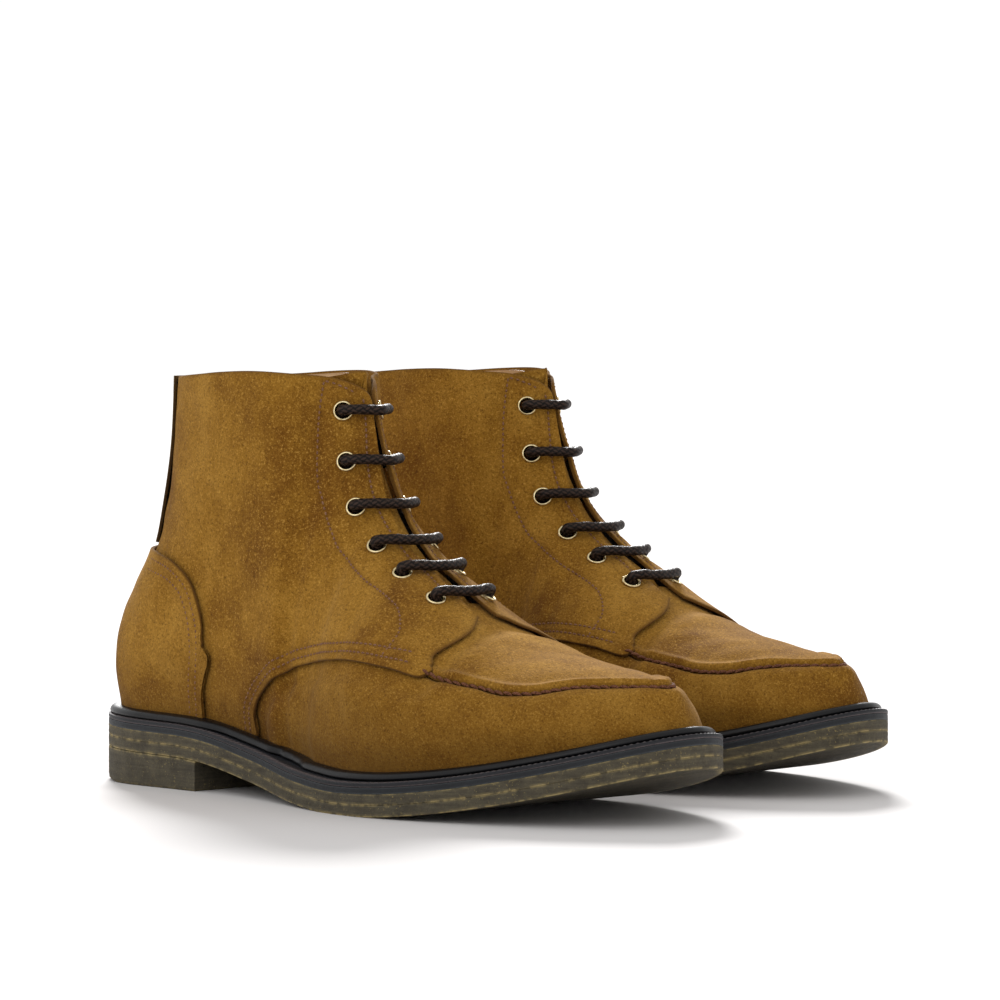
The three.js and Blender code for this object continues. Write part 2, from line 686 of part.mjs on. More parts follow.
function stormRand() {
  const clear = u => RAND_CLEARANCE + (SUEDE + LAYER_GAP) * (1 - ease(74, 92, u));
  const widest = u => Math.max(footHalf(FEATHER_GAP)(u), footHalf(RAND_HEIGHT)(u));
  const base = outline(SOLE_POINTS, widest, clear);
  return ring(base, [[0, BOND], [RAND_WIDTH, BOND], [RAND_WIDTH + 0.1, BOND + 1], [RAND_WIDTH * 0.7, BOND + 2.2],
    [RAND_WIDTH * 0.3, RAND_HEIGHT], [0, RAND_HEIGHT]]);
}

function insoleBoard() {
  return plate(outline(SOLE_POINTS, footHalf(0.5), -INSOLE_INSET), u => seat(u) + BOARD_RISE, u => seat(u) - WELT);
}

function footbed() {
  const low = BOARD_RISE + BOND;
  return plate(outline(SOLE_POINTS, footHalf(0.5), -INSOLE_INSET - 0.2), u => seat(u) + low + FOOTBED, u => seat(u) + low);
}

function boot(side) {
  const group = new THREE.Group();
  const add = (name, geometry, material) => {
    const mesh = new THREE.Mesh(geometry, material);
    mesh.name = `${side}_${name}`;
    group.add(mesh);
  };
  add('outsole', outsole(), crepe);
  add('heel_block', heelBlock(), crepe);
  add('through_sole', layer(WELT + BOND + MIDSOLE + BOND, THROUGH_SOLE), crepe);
  add('midsole', layer(WELT + BOND, MIDSOLE), darkRubber);
  add('welt', welt(), blackRubber);
  add('storm_rand', stormRand(), blackRubber);
  add('insole_board', insoleBoard(), board);
  add('footbed', footbed(), calf);
  add('vamp', vamp(), suede);
  add('apron', apron(), suede);
  add('quarter_outer', quarter(1), suede);
  add('quarter_inner', quarter(-1), suede);
  add('heel_counter', heelCounter(), suede);
  add('heel_stiffener', heelStiffener(), board);
  add('back_strip', backStrip(), strip);
  add('lining', lining(), calf);
  add('tongue', tongue(), suede);
  add('lace', lace(), waxed);
  for (let row = 0; row < EYELET_ROWS.length; row += 1) {
    add(`eyelet_outer_${row + 1}`, eyelet(row, 1), brass);
    add(`eyelet_inner_${row + 1}`, eyelet(row, -1), brass);
  }
  return group;
}

const pair = new THREE.Group();
const right = boot('right');
const left = boot('left');
left.scale.y = -1;
const leftPlace = new THREE.Group();
leftPlace.rotation.z = THREE.MathUtils.degToRad(LEFT_TURN_DEG);
leftPlace.position.set(LEFT_FORWARD, LEFT_ASIDE, 0);
leftPlace.add(left);
pair.add(right, leftPlace);

// Origin under the middle of the pair, on the ground
const box = new THREE.Box3().setFromObject(pair, true);
pair.position.set(-(box.min.x + box.max.x) / 2, -(box.min.y + box.max.y) / 2, -box.min.z);

export default pair;
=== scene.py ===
import math

import bmesh
import bpy
import numpy as np
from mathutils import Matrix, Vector


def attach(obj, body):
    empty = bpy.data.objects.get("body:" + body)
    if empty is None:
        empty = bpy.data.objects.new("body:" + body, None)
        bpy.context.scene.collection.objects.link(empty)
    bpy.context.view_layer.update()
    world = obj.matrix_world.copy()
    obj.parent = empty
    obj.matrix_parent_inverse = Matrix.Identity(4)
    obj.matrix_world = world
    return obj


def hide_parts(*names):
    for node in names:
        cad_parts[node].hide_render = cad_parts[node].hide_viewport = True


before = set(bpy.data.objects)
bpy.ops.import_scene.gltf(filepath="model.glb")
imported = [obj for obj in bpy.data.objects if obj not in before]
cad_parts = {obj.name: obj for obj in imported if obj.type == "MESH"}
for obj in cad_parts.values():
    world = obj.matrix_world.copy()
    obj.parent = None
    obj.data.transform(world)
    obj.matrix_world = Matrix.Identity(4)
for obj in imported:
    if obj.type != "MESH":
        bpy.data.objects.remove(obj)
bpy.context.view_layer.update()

# Every boot shape is worked out in millimetres in the boot's own frame:
# u forward from the back of the sole, v towards the outside of the foot, w up.
pairPlace = {
    "shift": (-134.401, -65.377),
    "leftForward": -31, "leftAside": 113, "leftTurn": 5.5,
}
sides = ("right", "left")


def bodyOf(side):
    return f"{side}_boot"


def toWorld(p, side):
    # boot frame in mm to the shared frame in metres
    p = np.asarray(p, float)
    u, v, w = p[..., 0], p[..., 1], p[..., 2]
    if side == "right":
        x, y = u, -v
    else:
        a = math.radians(pairPlace["leftTurn"])
        x = u * math.cos(a) - v * math.sin(a) + pairPlace["leftForward"]
        y = u * math.sin(a) + v * math.cos(a) + pairPlace["leftAside"]
    sx, sy = pairPlace["shift"]
    return np.stack([x + sx, y + sy, w], axis=-1) / 1000


cameraSet = {
    "azimuth": 46.11, "elevation": 2.08, "distance": 1.8, "lens": 178.0,
    "target": (0.07204, -0.06538, 0.11319),
}
az, el = math.radians(cameraSet["azimuth"]), math.radians(cameraSet["elevation"])
back = Vector((math.sin(az) * math.cos(el), -math.cos(az) * math.cos(el), math.sin(el)))
camera = bpy.data.objects.new("camera", bpy.data.cameras.new("camera"))
bpy.context.scene.collection.objects.link(camera)
camera.data.lens = cameraSet["lens"]
camera.data.sensor_width = 36
camera.data.clip_end = 60
camera.location = Vector(cameraSet["target"]) + back * cameraSet["distance"]
camera.rotation_euler = back.to_track_quat("Z", "Y").to_euler()
bpy.context.scene.camera = camera
bpy.context.scene.view_settings.view_transform = "Standard"


def nodeMaterial(name):
    mat = bpy.data.materials.new(name)
    mat.use_nodes = True
    tree = mat.node_tree
    return mat, tree.nodes, tree.links, tree.nodes["Principled BSDF"]


floorSet = {"size": 16.0, "colour": (0.57, 0.555, 0.55)}


def makeFloor():
    bpy.ops.object.select_all(action="DESELECT")
    bpy.ops.mesh.primitive_plane_add(size=floorSet["size"], location=(0, 0, 0))
    floor = bpy.context.object
    floor.name = "studio_floor"
    mat, _, _, shader = nodeMaterial("studio_floor_paint")
    shader.inputs["Base Color"].default_value = (*floorSet["colour"], 1)
    shader.inputs["Roughness"].default_value = 0.9
    shader.inputs["Specular IOR Level"].default_value = 0.1
    floor.data.materials.append(mat)


lightSet = {
    "world": 1.03,
    "sun": {"from": (-0.72, 0.60, 0.62), "strength": 5.4, "spread": 16},
    "lamps": [
        ("fill", (0.6, -2.4, 1.5), 1.8, 14),
    ],
}


def makeLights():
    world = bpy.data.worlds.new("studio")
    world.use_nodes = True
    world.node_tree.nodes["Background"].inputs[0].default_value = (1.0, 1.0, 1.0, 1)
    world.node_tree.nodes["Background"].inputs[1].default_value = lightSet["world"]
    bpy.context.scene.world = world
    sun = bpy.data.objects.new("sun", bpy.data.lights.new("sun", "SUN"))
    sun.data.energy = lightSet["sun"]["strength"]
    sun.data.angle = math.radians(lightSet["sun"]["spread"])
    sun.rotation_euler = Vector(lightSet["sun"]["from"]).to_track_quat("Z", "Y").to_euler()
    bpy.context.scene.collection.objects.link(sun)
    for name, place, size, power in lightSet["lamps"]:
        lamp = bpy.data.objects.new(name, bpy.data.lights.new(name, "AREA"))
        lamp.data.size = size
        lamp.data.energy = power
        lamp.location = place
        aim = Vector(place) - Vector((0, 0, 0.06))
        lamp.rotation_euler = aim.to_track_quat("Z", "Y").to_euler()
        bpy.context.scene.collection.objects.link(lamp)


makeFloor()
makeLights()
print("stage: camera, floor and light are in place")


def curve(knots):
    # smooth line through sorted points, straight beyond both ends
    xs, ys = np.array(knots, float).T
    count = len(xs)
    lo = np.maximum(np.arange(count) - 1, 0)
    hi = np.minimum(np.arange(count) + 1, count - 1)
    slope = (ys[hi] - ys[lo]) / (xs[hi] - xs[lo])

    def at(x):
        x = np.asarray(x, float)
        i = np.clip(np.searchsorted(xs, x) - 1, 0, count - 2)
        h = xs[i + 1] - xs[i]
        raw = (x - xs[i]) / h
        t = np.clip(raw, 0, 1)
        s = 1 - t
        y = ((1 + 2 * t) * s * s * ys[i] + t * s * s * h * slope[i]
             + t * t * (3 - 2 * t) * ys[i + 1] - t * t * s * h * slope[i + 1])
        return y + (raw - t) * h * np.where(raw < 0, slope[i], slope[i + 1])
    return at


def ease(start, end, x):
    t = np.clip((np.asarray(x, float) - start) / (end - start), 0, 1)
    return t * t * (3 - 2 * t)


lastSet = {
    "rear": 6, "front": 294, "toeRound": 72, "shaftHalf": 29.3, "toePivot": 232,
    "suede": 1.4, "feather": 0.25, "seamGap": 0.5, "dip": 2.4,
}
seat = curve([(0, 26.5), (40, 25.5), (76, 24.2), (110, 19), (140, 14.6), (165, 12.6), (180, 12.3),
              (200, 13.2), (225, 16), (250, 20.4), (275, 26.2), (300, 33.4)])
swing = curve([(0, 0), (75, 0), (120, 1), (180, 1.5), (240, -3.5), (293, -8)])
breadth = curve([(6, 28.2), (45, 28.2), (80, 29), (115, 32), (150, 41), (180, 47.5), (205, 47.8),
                 (250, 42.5), (294, 39)])
ridge = curve([(100, 324), (120, 244), (130, 189), (140, 143), (150, 113), (165, 94), (180, 84),
               (200, 71.5), (225, 60.5), (250, 55.6), (270, 52.9), (285, 49.7), (294, 43.7),
               (302, 31.7)])
backLine = curve([(20, 6.4), (30, 6.4), (50, 5.4), (60, 7.3), (75, 14.4), (90, 24.7), (105, 29.4),
                  (130, 34.2), (158, 35.5), (180, 35.5)])
heelRound = curve([(20, 34), (60, 36), (100, 45), (158, 55)])
ridgeRound = curve([(100, 50), (150, 48), (190, 34), (240, 25), (300, 22)])
seamHeight = curve([(96, 38), (110, 47), (130, 56), (160, 60), (190, 58.5), (207, 53.2), (217, 50.2),
                    (228, 48.4), (240, 46.8), (250, 46.3), (262, 46.6), (271, 47.8), (279, 48.9),
                    (286, 49.2)])
arcKnots = [(104.5, 21.5), (105.5, 29), (109.5, 36.5), (118, 43.8), (129, 49.3), (141, 52.2),
            (155, 54.2), (174, 55.6), (190, 54.2), (205, 51.4)]
tabTip = (208, 51.6)
tabCorner = 70.5
eyeletRows = [(77.2, 13), (86, 14), (95.5, 14), (109.2, 12.8), (126, 11.2), (144.8, 9.4)]


def quarterCircle(x):
    return np.where(x < 1, 2 * x - x * x, 1)


def breadthSquared(u, w):
    lift = w - seat(u)
    flare = 1.2 * ease(4, 18, lift) * (1 - ease(30, 60, lift))
    tuck = 1 - 0.055 * (1 - ease(0, 14, lift))
    wide = breadth(u)
    side = (wide + (lastSet["shaftHalf"] - wide) * ease(45, 120, w)) * tuck + flare
    slope = ridge(u + 0.5) - ridge(u - 0.5)
    front = quarterCircle((ridge(u) - w) / np.hypot(1, slope) / ridgeRound(u))
    pinch = 1 + 0.7 * ease(85, 145, w)
    toeLimit = lastSet["front"] - 0.35 * np.maximum(w - 34, 0)
    toe = quarterCircle((toeLimit - u) / lastSet["toeRound"])
    heel = quarterCircle((u - backLine(w)) / heelRound(w))
    size = side * side * np.abs(toe * heel) * np.abs(front) ** pinch
    return np.where(np.minimum(np.minimum(toe, heel), front) < 0, -size, size)


def middle(u, w):
    return swing(u) * (1 - ease(60, 120, w))


def outside(u, v, w):
    return (v - middle(u, w)) ** 2 - breadthSquared(u, w)


def normalAt(p):
    u, v, w = p[..., 0], p[..., 1], p[..., 2]
    h = 0.05
    n = np.stack([outside(u + h, v, w) - outside(u - h, v, w),
                  outside(u, v + h, w) - outside(u, v - h, w),
                  outside(u, v, w + h) - outside(u, v, w - h)], axis=-1)
    return n / np.maximum(np.linalg.norm(n, axis=-1, keepdims=True), 1e-12)


def offset(p, distance):
    p = np.asarray(p, float)
    return p + normalAt(p) * np.asarray(distance, float)[..., None]


def layerPoint(p, distance):
    # the same, kept above the welt
    q = offset(p, distance)
    q[..., 2] = np.maximum(q[..., 2], seat(q[..., 0]) + lastSet["feather"])
    return q


def bisect(inside, low, high, like):
    a = np.zeros_like(like) + low
    b = np.zeros_like(like) + high
    for _ in range(34):
        m = (a + b) / 2
        good = inside(m)
        a, b = np.where(good, m, a), np.where(good, b, m)
    return a


def frontLine(w):
    w = np.asarray(w, float)
    toeLimit = lastSet["front"] - 0.35 * np.maximum(w - 34, 0)
    return bisect(lambda u: (ridge(u) > w) & (u < toeLimit), 100, 300, w)


def onSlice(turn, w, side, front=None):
    # place on a level slice: turn 0 at the back line, pi at the front ridge
    w = np.asarray(w, float)
    rear = backLine(w)
    front = frontLine(w) if front is None else front
    u = (rear + front) / 2 - (front - rear) / 2 * np.cos(turn)
    v = middle(u, w) + side * np.sqrt(np.maximum(breadthSquared(u, w), 0))
    return np.stack([u, v, w + 0 * u], axis=-1)


def turnAt(u, w):
    rear, front = backLine(w), frontLine(w)
    return np.arccos(np.clip(((rear + front) / 2 - u) / ((front - rear) / 2), -1, 1))


def turnAtHalf(half, w):
    w = np.asarray(w, float)
    front = frontLine(w)

    def wider(t):
        p = onSlice(t, w, 1, front)
        return p[..., 1] - middle(p[..., 0], w) > half
    return bisect(wider, math.pi * 0.55, math.pi, w + 0.0 * half)


def catmull(points, spread, dense=24):
    # evenly measured points on the uniform Catmull-Rom line; spread runs 0 to 1
    p = np.asarray(points, float)
    count = len(p)
    fine = []
    for i in range(count - 1):
        a, b, c, d = p[max(i - 1, 0)], p[i], p[i + 1], p[min(i + 2, count - 1)]
        t = np.linspace(0, 1, dense, endpoint=False)[:, None]
        va, vb = (c - a) / 2, (d - b) / 2
        fine.append((2 * b - 2 * c + va + vb) * t ** 3 + (-3 * b + 3 * c - 2 * va - vb) * t * t
                    + va * t + b)
    fine = np.vstack([*fine, p[-1:]])
    run = np.concatenate([[0], np.cumsum(np.linalg.norm(np.diff(fine, axis=0), axis=1))])
    want = np.asarray(spread) * run[-1]
    return np.stack([np.interp(want, run, fine[:, k]) for k in range(p.shape[1])], axis=-1)


def trace(knots, spread):
    # through knots of (turn, height), measured as if a turn were 60 mm
    line = catmull([(k[0] * 60, k[1]) for k in knots], spread)
    return np.stack([line[:, 0] / 60, line[:, 1]], axis=-1)


def knotsFrom(pairs):
    return [(float(turnAt(u, w)), w) for u, w in pairs]


def bentKnots(pairs, count=12):
    line = catmull(pairs, np.linspace(0, 1, count + 1))
    return [(float(turnAt(u, w)), float(w)) for u, w in line]


def featherKnots(us):
    rise = [float(seat(u)) + lastSet["feather"] for u in us]
    return [(float(turnAt(u, w)), w) for u, w in zip(us, rise)]


def onSideGrid(lower, upper, across, rise, side, bow=None, lean=None):
    # places on one side of the boot between a lower and an upper line;
    # a lean over 1 keeps a column upright near its foot
    low, high = trace(lower, across), trace(upper, across)
    t = np.asarray(rise)[None, :]
    power = 1 if lean is None else lean(np.asarray(across))[:, None]
    turn = low[:, :1] + (high[:, :1] - low[:, :1]) * t ** power
    w = low[:, 1:] + (high[:, 1:] - low[:, 1:]) * t
    if bow is not None:
        turn, w = bow(turn, w, np.asarray(across)[:, None], t)
    return onSlice(turn, w, side)


def softNoise(p, wavelength, seed, waves=7):
    rng = np.random.default_rng(seed)
    total = 0
    for _ in range(waves):
        d = rng.normal(size=3)
        d /= np.linalg.norm(d)
        total = total + np.sin(p @ d * (2 * math.pi / (wavelength * rng.uniform(0.7, 1.5)))
                               + rng.uniform(0, 6.28))
    return total / math.sqrt(waves)


def nearest(p, line):
    # distance from each point to a polyline's dense points
    flat = p.reshape(-1, 3)
    best = np.full(len(flat), 1e9)
    for start in range(0, len(line), 64):
        d = np.linalg.norm(flat[:, None, :] - line[None, start:start + 64, :], axis=2)
        best = np.minimum(best, d.min(axis=1))
    return best.reshape(p.shape[:-1])


def measured(line, pitch):
    # points along a 3-D polyline at one pitch, with their directions
    run = np.concatenate([[0], np.cumsum(np.linalg.norm(np.diff(line, axis=0), axis=1))])
    count = max(int(run[-1] / pitch), 2)
    want = (np.arange(count) + 0.5) * run[-1] / count
    points = np.stack([np.interp(want, run, line[:, k]) for k in range(3)], axis=-1)
    ahead = np.stack([np.interp(want + 0.4, run, line[:, k]) for k in range(3)], axis=-1)
    behind = np.stack([np.interp(want - 0.4, run, line[:, k]) for k in range(3)], axis=-1)
    return points, (ahead - behind) / np.maximum(
        np.linalg.norm(ahead - behind, axis=1, keepdims=True), 1e-9)


def makePiece(name, points, faces, side, mat, replaced=(), body=None, edge=None,
              sharp=40, mapped=None):
    # points in the boot frame; faces are put the right way out here
    mesh = bpy.data.meshes.new(name)
    mesh.from_pydata(toWorld(points, side).tolist(), [], faces)
    if edge is not None:
        mesh.attributes.new("edge", "FLOAT", "POINT").data.foreach_set("value", np.ravel(edge))
    if mapped is not None:
        for label, values in mapped.items():
            mesh.attributes.new(label, "FLOAT", "POINT").data.foreach_set("value", np.ravel(values))
    work = bmesh.new()
    work.from_mesh(mesh)
    bmesh.ops.remove_doubles(work, verts=work.verts, dist=2e-6)
    loose = [v for v in work.verts if not v.link_faces]
    bmesh.ops.delete(work, geom=loose, context="VERTS")
    bmesh.ops.recalc_face_normals(work, faces=work.faces)
    work.to_mesh(mesh)
    work.free()
    piece = bpy.data.objects.new(name, mesh)
    bpy.context.scene.collection.objects.link(piece)
    bpy.ops.object.select_all(action="DESELECT")
    piece.select_set(True)
    bpy.context.view_layer.objects.active = piece
    bpy.ops.object.shade_smooth_by_angle(angle=math.radians(sharp))
    mesh.materials.append(mat)
    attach(piece, body or bodyOf(side))
    if replaced:
        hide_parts(*replaced)
    return piece


def sheetFaces(rows, cols, keep=None):
    # closed sheet of two grids, with walls wherever a kept quad has no kept neighbour
    keep = np.ones((rows - 1, cols - 1), bool) if keep is None else keep
    half = rows * cols
    faces = []

    def kept(i, j):
        return 0 <= i < rows - 1 and 0 <= j < cols - 1 and keep[i, j]
    for i in range(rows - 1):
        for j in range(cols - 1):
            if not keep[i, j]:
                continue
            a, b, c, d = i * cols + j, (i + 1) * cols + j, (i + 1) * cols + j + 1, i * cols + j + 1
            faces.append((a, b, c, d))
            faces.append((half + a, half + d, half + c, half + b))
            if not kept(i, j - 1):
                faces.append((a, half + a, half + b, b))
            if not kept(i, j + 1):
                faces.append((d, c, half + c, half + d))
            if not kept(i - 1, j):
                faces.append((a, d, half + d, half + a))
            if not kept(i + 1, j):
                faces.append((b, half + b, half + c, c))
    return faces


def ringFaces(rings, count, capped=False, closed=False):
    # quads between rings of the same count; capped pairs a point with its mirror
    faces = []
    for k in range(rings if closed else rings - 1):
        a, b = k * count, ((k + 1) % rings) * count
        for i in range(count):
            j = (i + 1) % count
            faces.append((a + i, a + j, b + j, b + i))
    if capped:
        for k in (0, rings - 1):
            for i in range(count // 2):
                p, q = i, i + 1
                faces.append((k * count + p, k * count + q, k * count + (count - q) % count,
                              k * count + (count - p) % count))
    return [tuple(dict.fromkeys(f)) for f in faces if len(set(f)) > 2]


def crowded(count, closeness=(0, 0.25, 0.6, 1.1), length=100.0):
    # steps from 0 to 1 with a few extra ones close to both ends, for a cut edge
    near = np.array(closeness) / length
    return np.concatenate([near, np.linspace(near[-1] * 1.8, 1 - near[-1] * 1.8, count),
                           1 - near[::-1]])


def edgeDrop(count, first=True, last=True):
    # how far a cut edge is rounded down at each step, in mm
    drop = np.zeros(count)
    shape = np.array([0.42, 0.16, 0.04])
    if first:
        drop[:3] = shape
    if last:
        drop[-3:] = shape[::-1]
    return drop


def edgeMark(count, first=True, last=True):
    mark = np.zeros(count)
    shape = np.array([1.0, 0.75, 0.35, 0.1])
    if first:
        mark[:4] = shape
    if last:
        mark[-4:] = shape[::-1]
    return mark


def crossed(a, b):
    return np.maximum(a[:, None], b[None, :])


def linear(rgb):
    return tuple((c / 255 / 12.92) if c <= 10 else ((c / 255 + 0.055) / 1.055) ** 2.4 for c in rgb)


class Weave:
    # short ways to add nodes to one material
    def __init__(self, name, roughness, specular=0.5):
        self.mat, self.nodes, self.links, self.shader = nodeMaterial(name)
        self.shader.inputs["Roughness"].default_value = roughness
        self.shader.inputs["Specular IOR Level"].default_value = specular
        self.place = self.nodes.new("ShaderNodeTexCoord").outputs["Object"]

    def noise(self, scale, detail=3.0, rough=0.6, stretch=None, distortion=0.0):
        node = self.nodes.new("ShaderNodeTexNoise")
        node.inputs["Scale"].default_value = scale
        node.inputs["Detail"].default_value = detail
        node.inputs["Roughness"].default_value = rough
        node.inputs["Distortion"].default_value = distortion
        source = self.place
        if stretch:
            mapping = self.nodes.new("ShaderNodeMapping")
            mapping.inputs["Scale"].default_value = stretch
            self.links.new(self.place, mapping.inputs["Vector"])
            source = mapping.outputs["Vector"]
        self.links.new(source, node.inputs["Vector"])
        return node.outputs["Fac"]

    def height(self):
        node = self.nodes.new("ShaderNodeSeparateXYZ")
        self.links.new(self.place, node.inputs[0])
        return node.outputs[2]

    def attribute(self, name):
        node = self.nodes.new("ShaderNodeAttribute")
        node.attribute_name = name
        return node.outputs["Fac"]

    def ramp(self, fac, stops):
        node = self.nodes.new("ShaderNodeValToRGB")
        while len(node.color_ramp.elements) < len(stops):
            node.color_ramp.elements.new(0.5)
        for element, (at, colour) in zip(node.color_ramp.elements, stops):
            element.position = at
            element.color = (*colour, 1) if len(colour) == 3 else colour
        self.links.new(fac, node.inputs["Fac"])
        return node.outputs["Color"]

    def mix(self, fac, a, b, blend="MIX"):
        node = self.nodes.new("ShaderNodeMix")
        node.data_type = "RGBA"
        node.blend_type = blend
        for socket, value in ((node.inputs[0], fac), (node.inputs[6], a), (node.inputs[7], b)):
            if isinstance(value, bpy.types.NodeSocket):
                self.links.new(value, socket)
            elif isinstance(value, (int, float)):
                socket.default_value = value
            else:
                socket.default_value = (*value, 1)
        return node.outputs[2]

    def math(self, kind, a, b=0.0, c=0.0):
        node = self.nodes.new("ShaderNodeMath")
        node.operation = kind
        for socket, value in zip(node.inputs, (a, b, c)):
            if isinstance(value, bpy.types.NodeSocket):
                self.links.new(value, socket)
            else:
                socket.default_value = value
        return node.outputs[0]

    def bump(self, height, distance, strength=1.0, under=None):
        node = self.nodes.new("ShaderNodeBump")
        node.inputs["Distance"].default_value = distance
        node.inputs["Strength"].default_value = strength
        self.links.new(height, node.inputs["Height"])
        if under is not None:
            self.links.new(under, node.inputs["Normal"])
        return node.outputs["Normal"]

    def finish(self, colour, normal=None, rough=None):
        self.links.new(colour, self.shader.inputs["Base Color"])
        if normal is not None:
            self.links.new(normal, self.shader.inputs["Normal"])
        if rough is not None:
            self.links.new(rough, self.shader.inputs["Roughness"])
        return self.mat


suedeSet = {
    "light": (144, 105, 40), "mid": (127, 89, 28), "dark": (100, 64, 16), "cut": (82, 55, 24),
    "speckLight": (178, 136, 62), "speckDark": (70, 42, 10),
    # the last entry is the height in metres up to which the suede gets painted shade towards the bottom
    "sheen": 0.05, "nap": 0.0006, "paintedLight": 0.058,
}


def suedeMaterial(name, tone=1.0, cut=None):
    m = Weave(name, 0.95, 0.05)
    shade = {k: tuple(c * tone for c in linear(suedeSet[k]))
             for k in ("light", "mid", "dark", "speckLight", "speckDark")}
    cut = tuple(c * tone for c in linear(cut or suedeSet["cut"]))
    broad = m.noise(21, 3, 0.55, distortion=0.5)
    patch = m.noise(95, 4, 0.6, stretch=(1, 1, 0.7))
    brushed = m.math("ADD", m.math("MULTIPLY", broad, 0.62), m.math("MULTIPLY", patch, 0.38))
    colour = m.ramp(brushed, [(0.36, shade["dark"]), (0.5, shade["mid"]), (0.64, shade["light"])])
    fine = m.noise(1750, 2, 0.7)
    coarse = m.noise(900, 2, 0.6)
    fleck = m.math("ADD", m.math("MULTIPLY", fine, 0.6), m.math("MULTIPLY", coarse, 0.4))
    light = m.ramp(fleck, [(0.53, (0, 0, 0)), (0.68, (1, 1, 1))])
    dark = m.ramp(fleck, [(0.34, (1, 1, 1)), (0.48, (0, 0, 0))])
    colour = m.mix(m.math("MULTIPLY", light, 0.75), colour, shade["speckLight"])
    colour = m.mix(m.math("MULTIPLY", dark, 0.75), colour, shade["speckDark"])
    # painted shade: below that height the suede is painted darker towards the bottom, mottled by the broad
    # noise
    low = m.math("SUBTRACT", 1.0, m.math("DIVIDE", m.height(), suedeSet["paintedLight"]))
    low = m.math("MULTIPLY", m.math("MAXIMUM", low, 0.0), m.math("ADD", 0.25, broad))
    colour = m.mix(low, colour, shade["speckDark"])
    # the edge attribute mixes in the cut colour: the real colour of raw cut edges, and painted shade in the
    # stitch grooves, along the moc seam crease and low on the vamp
    edge = m.math("MULTIPLY", m.attribute("edge"), m.math("ADD", 0.35, m.math("MULTIPLY", coarse, 0.9)))
    colour = m.mix(m.math("MINIMUM", edge, 1.0), colour, cut)
    nap = m.bump(fleck, suedeSet["nap"], 0.8)
    nap = m.bump(m.noise(210, 3, 0.5), 0.0005, 0.5, nap)
    m.shader.inputs["Sheen Weight"].default_value = suedeSet["sheen"]
    m.shader.inputs["Sheen Roughness"].default_value = 0.55
    m.shader.inputs["Sheen Tint"].default_value = (1.0, 0.86, 0.6, 1)
    return m.finish(colour, nap)


def liningMaterial(name, light, dark):
    m = Weave(name, 0.55, 0.4)
    pores = m.noise(1100, 2, 0.5)
    colour = m.ramp(m.noise(60, 4, 0.6), [(0.35, linear(dark)), (0.65, linear(light))])
    colour = m.mix(m.math("MULTIPLY", pores, 0.35), colour, linear(dark))
    colour = m.mix(m.math("MULTIPLY", m.attribute("edge"), 0.7), colour, linear((120, 84, 48)))
    return m.finish(colour, m.bump(pores, 0.0002, 0.5), m.math("ADD", 0.45, m.math("MULTIPLY", pores, 0.25)))


def rubberMaterial(name, colour, paintedLight, rough, grain=0.0003):
    m = Weave(name, rough, 0.22)
    cloud = m.noise(90, 4, 0.6)
    fine = m.noise(900, 3, 0.6)
    base = m.ramp(cloud, [(0.3, linear(colour)), (0.75, tuple(c * 1.5 for c in linear(colour)))])
    # the edge attribute paints highlights: a lighter top on the rand and lighter lines along the welt and
    # midsole bevels; on the welt it also colours the dots of the wheeling, lighter where each notch is
    # raised. The third argument is the colour of these marks
    dotsAndHighlight = m.math("MULTIPLY", m.attribute("edge"), m.math("MULTIPLY", fine, 1.6))
    base = m.mix(m.math("MINIMUM", dotsAndHighlight, 1.0), base, linear(paintedLight))
    roughness = m.math("ADD", rough - 0.12, m.math("MULTIPLY", fine, 0.3))
    return m.finish(base, m.bump(fine, grain, 0.5), roughness)


crepeSet = {"base": (76, 70, 56), "dark": (52, 47, 38), "light": (96, 89, 70), "fleck": (168, 148, 92)}


def crepeMaterial(name):
    m = Weave(name, 0.85, 0.3)
    cloud = m.noise(160, 5, 0.7)
    layers = m.noise(90, 4, 0.7, stretch=(0.35, 0.35, 9))
    body = m.math("ADD", m.math("MULTIPLY", cloud, 0.55), m.math("MULTIPLY", layers, 0.45))
    colour = m.ramp(body, [(0.34, linear(crepeSet["dark"])), (0.5, linear(crepeSet["base"])),
                           (0.68, linear(crepeSet["light"]))])
    fine = m.noise(1300, 3, 0.75)
    specks = m.ramp(m.noise(950, 2, 0.8), [(0.62, (0, 0, 0)), (0.72, (1, 1, 1))])
    gather = m.ramp(m.noise(70, 2, 0.5), [(0.4, (0.15, 0.15, 0.15)), (0.62, (1, 1, 1))])
    colour = m.mix(m.math("MULTIPLY", m.math("MULTIPLY", specks, gather), 0.8), colour,
                   linear(crepeSet["fleck"]))
    colour = m.mix(m.math("MULTIPLY", fine, 0.55), colour, linear(crepeSet["dark"]))
    # painted highlight: light lines along the bevels of the crepe layers and the heel block, broken up by
    # noise
    line = m.math("MULTIPLY", m.attribute("edge"), m.ramp(m.noise(240, 2, 0.6),
                                                         [(0.42, (0.1, 0.1, 0.1)), (0.58, (1, 1, 1))]))
    colour = m.mix(m.math("MULTIPLY", line, 0.85), colour, linear((176, 156, 104)))
    grain = m.bump(m.math("ADD", fine, m.math("MULTIPLY", cloud, 0.6)), 0.0007, 0.8)
    return m.finish(colour, grain)


def cordMaterial(name):
    m = Weave(name, 0.5, 0.1)
    strand = m.attribute("strand")
    fine = m.noise(2600, 2, 0.6)
    # painted shade and highlight: near black between the braid strands, lighter on the strand crowns
    colour = m.ramp(strand, [(0.0, linear((4, 3, 3))), (0.6, linear((20, 14, 11))),
                             (1.0, linear((62, 47, 39)))])
    colour = m.mix(m.math("MULTIPLY", m.noise(300, 3, 0.6), 0.5), colour, linear((12, 9, 8)))
    rough = m.math("ADD", 0.26, m.math("MULTIPLY", fine, 0.34))
    return m.finish(colour, m.bump(fine, 0.0002, 0.5), rough)


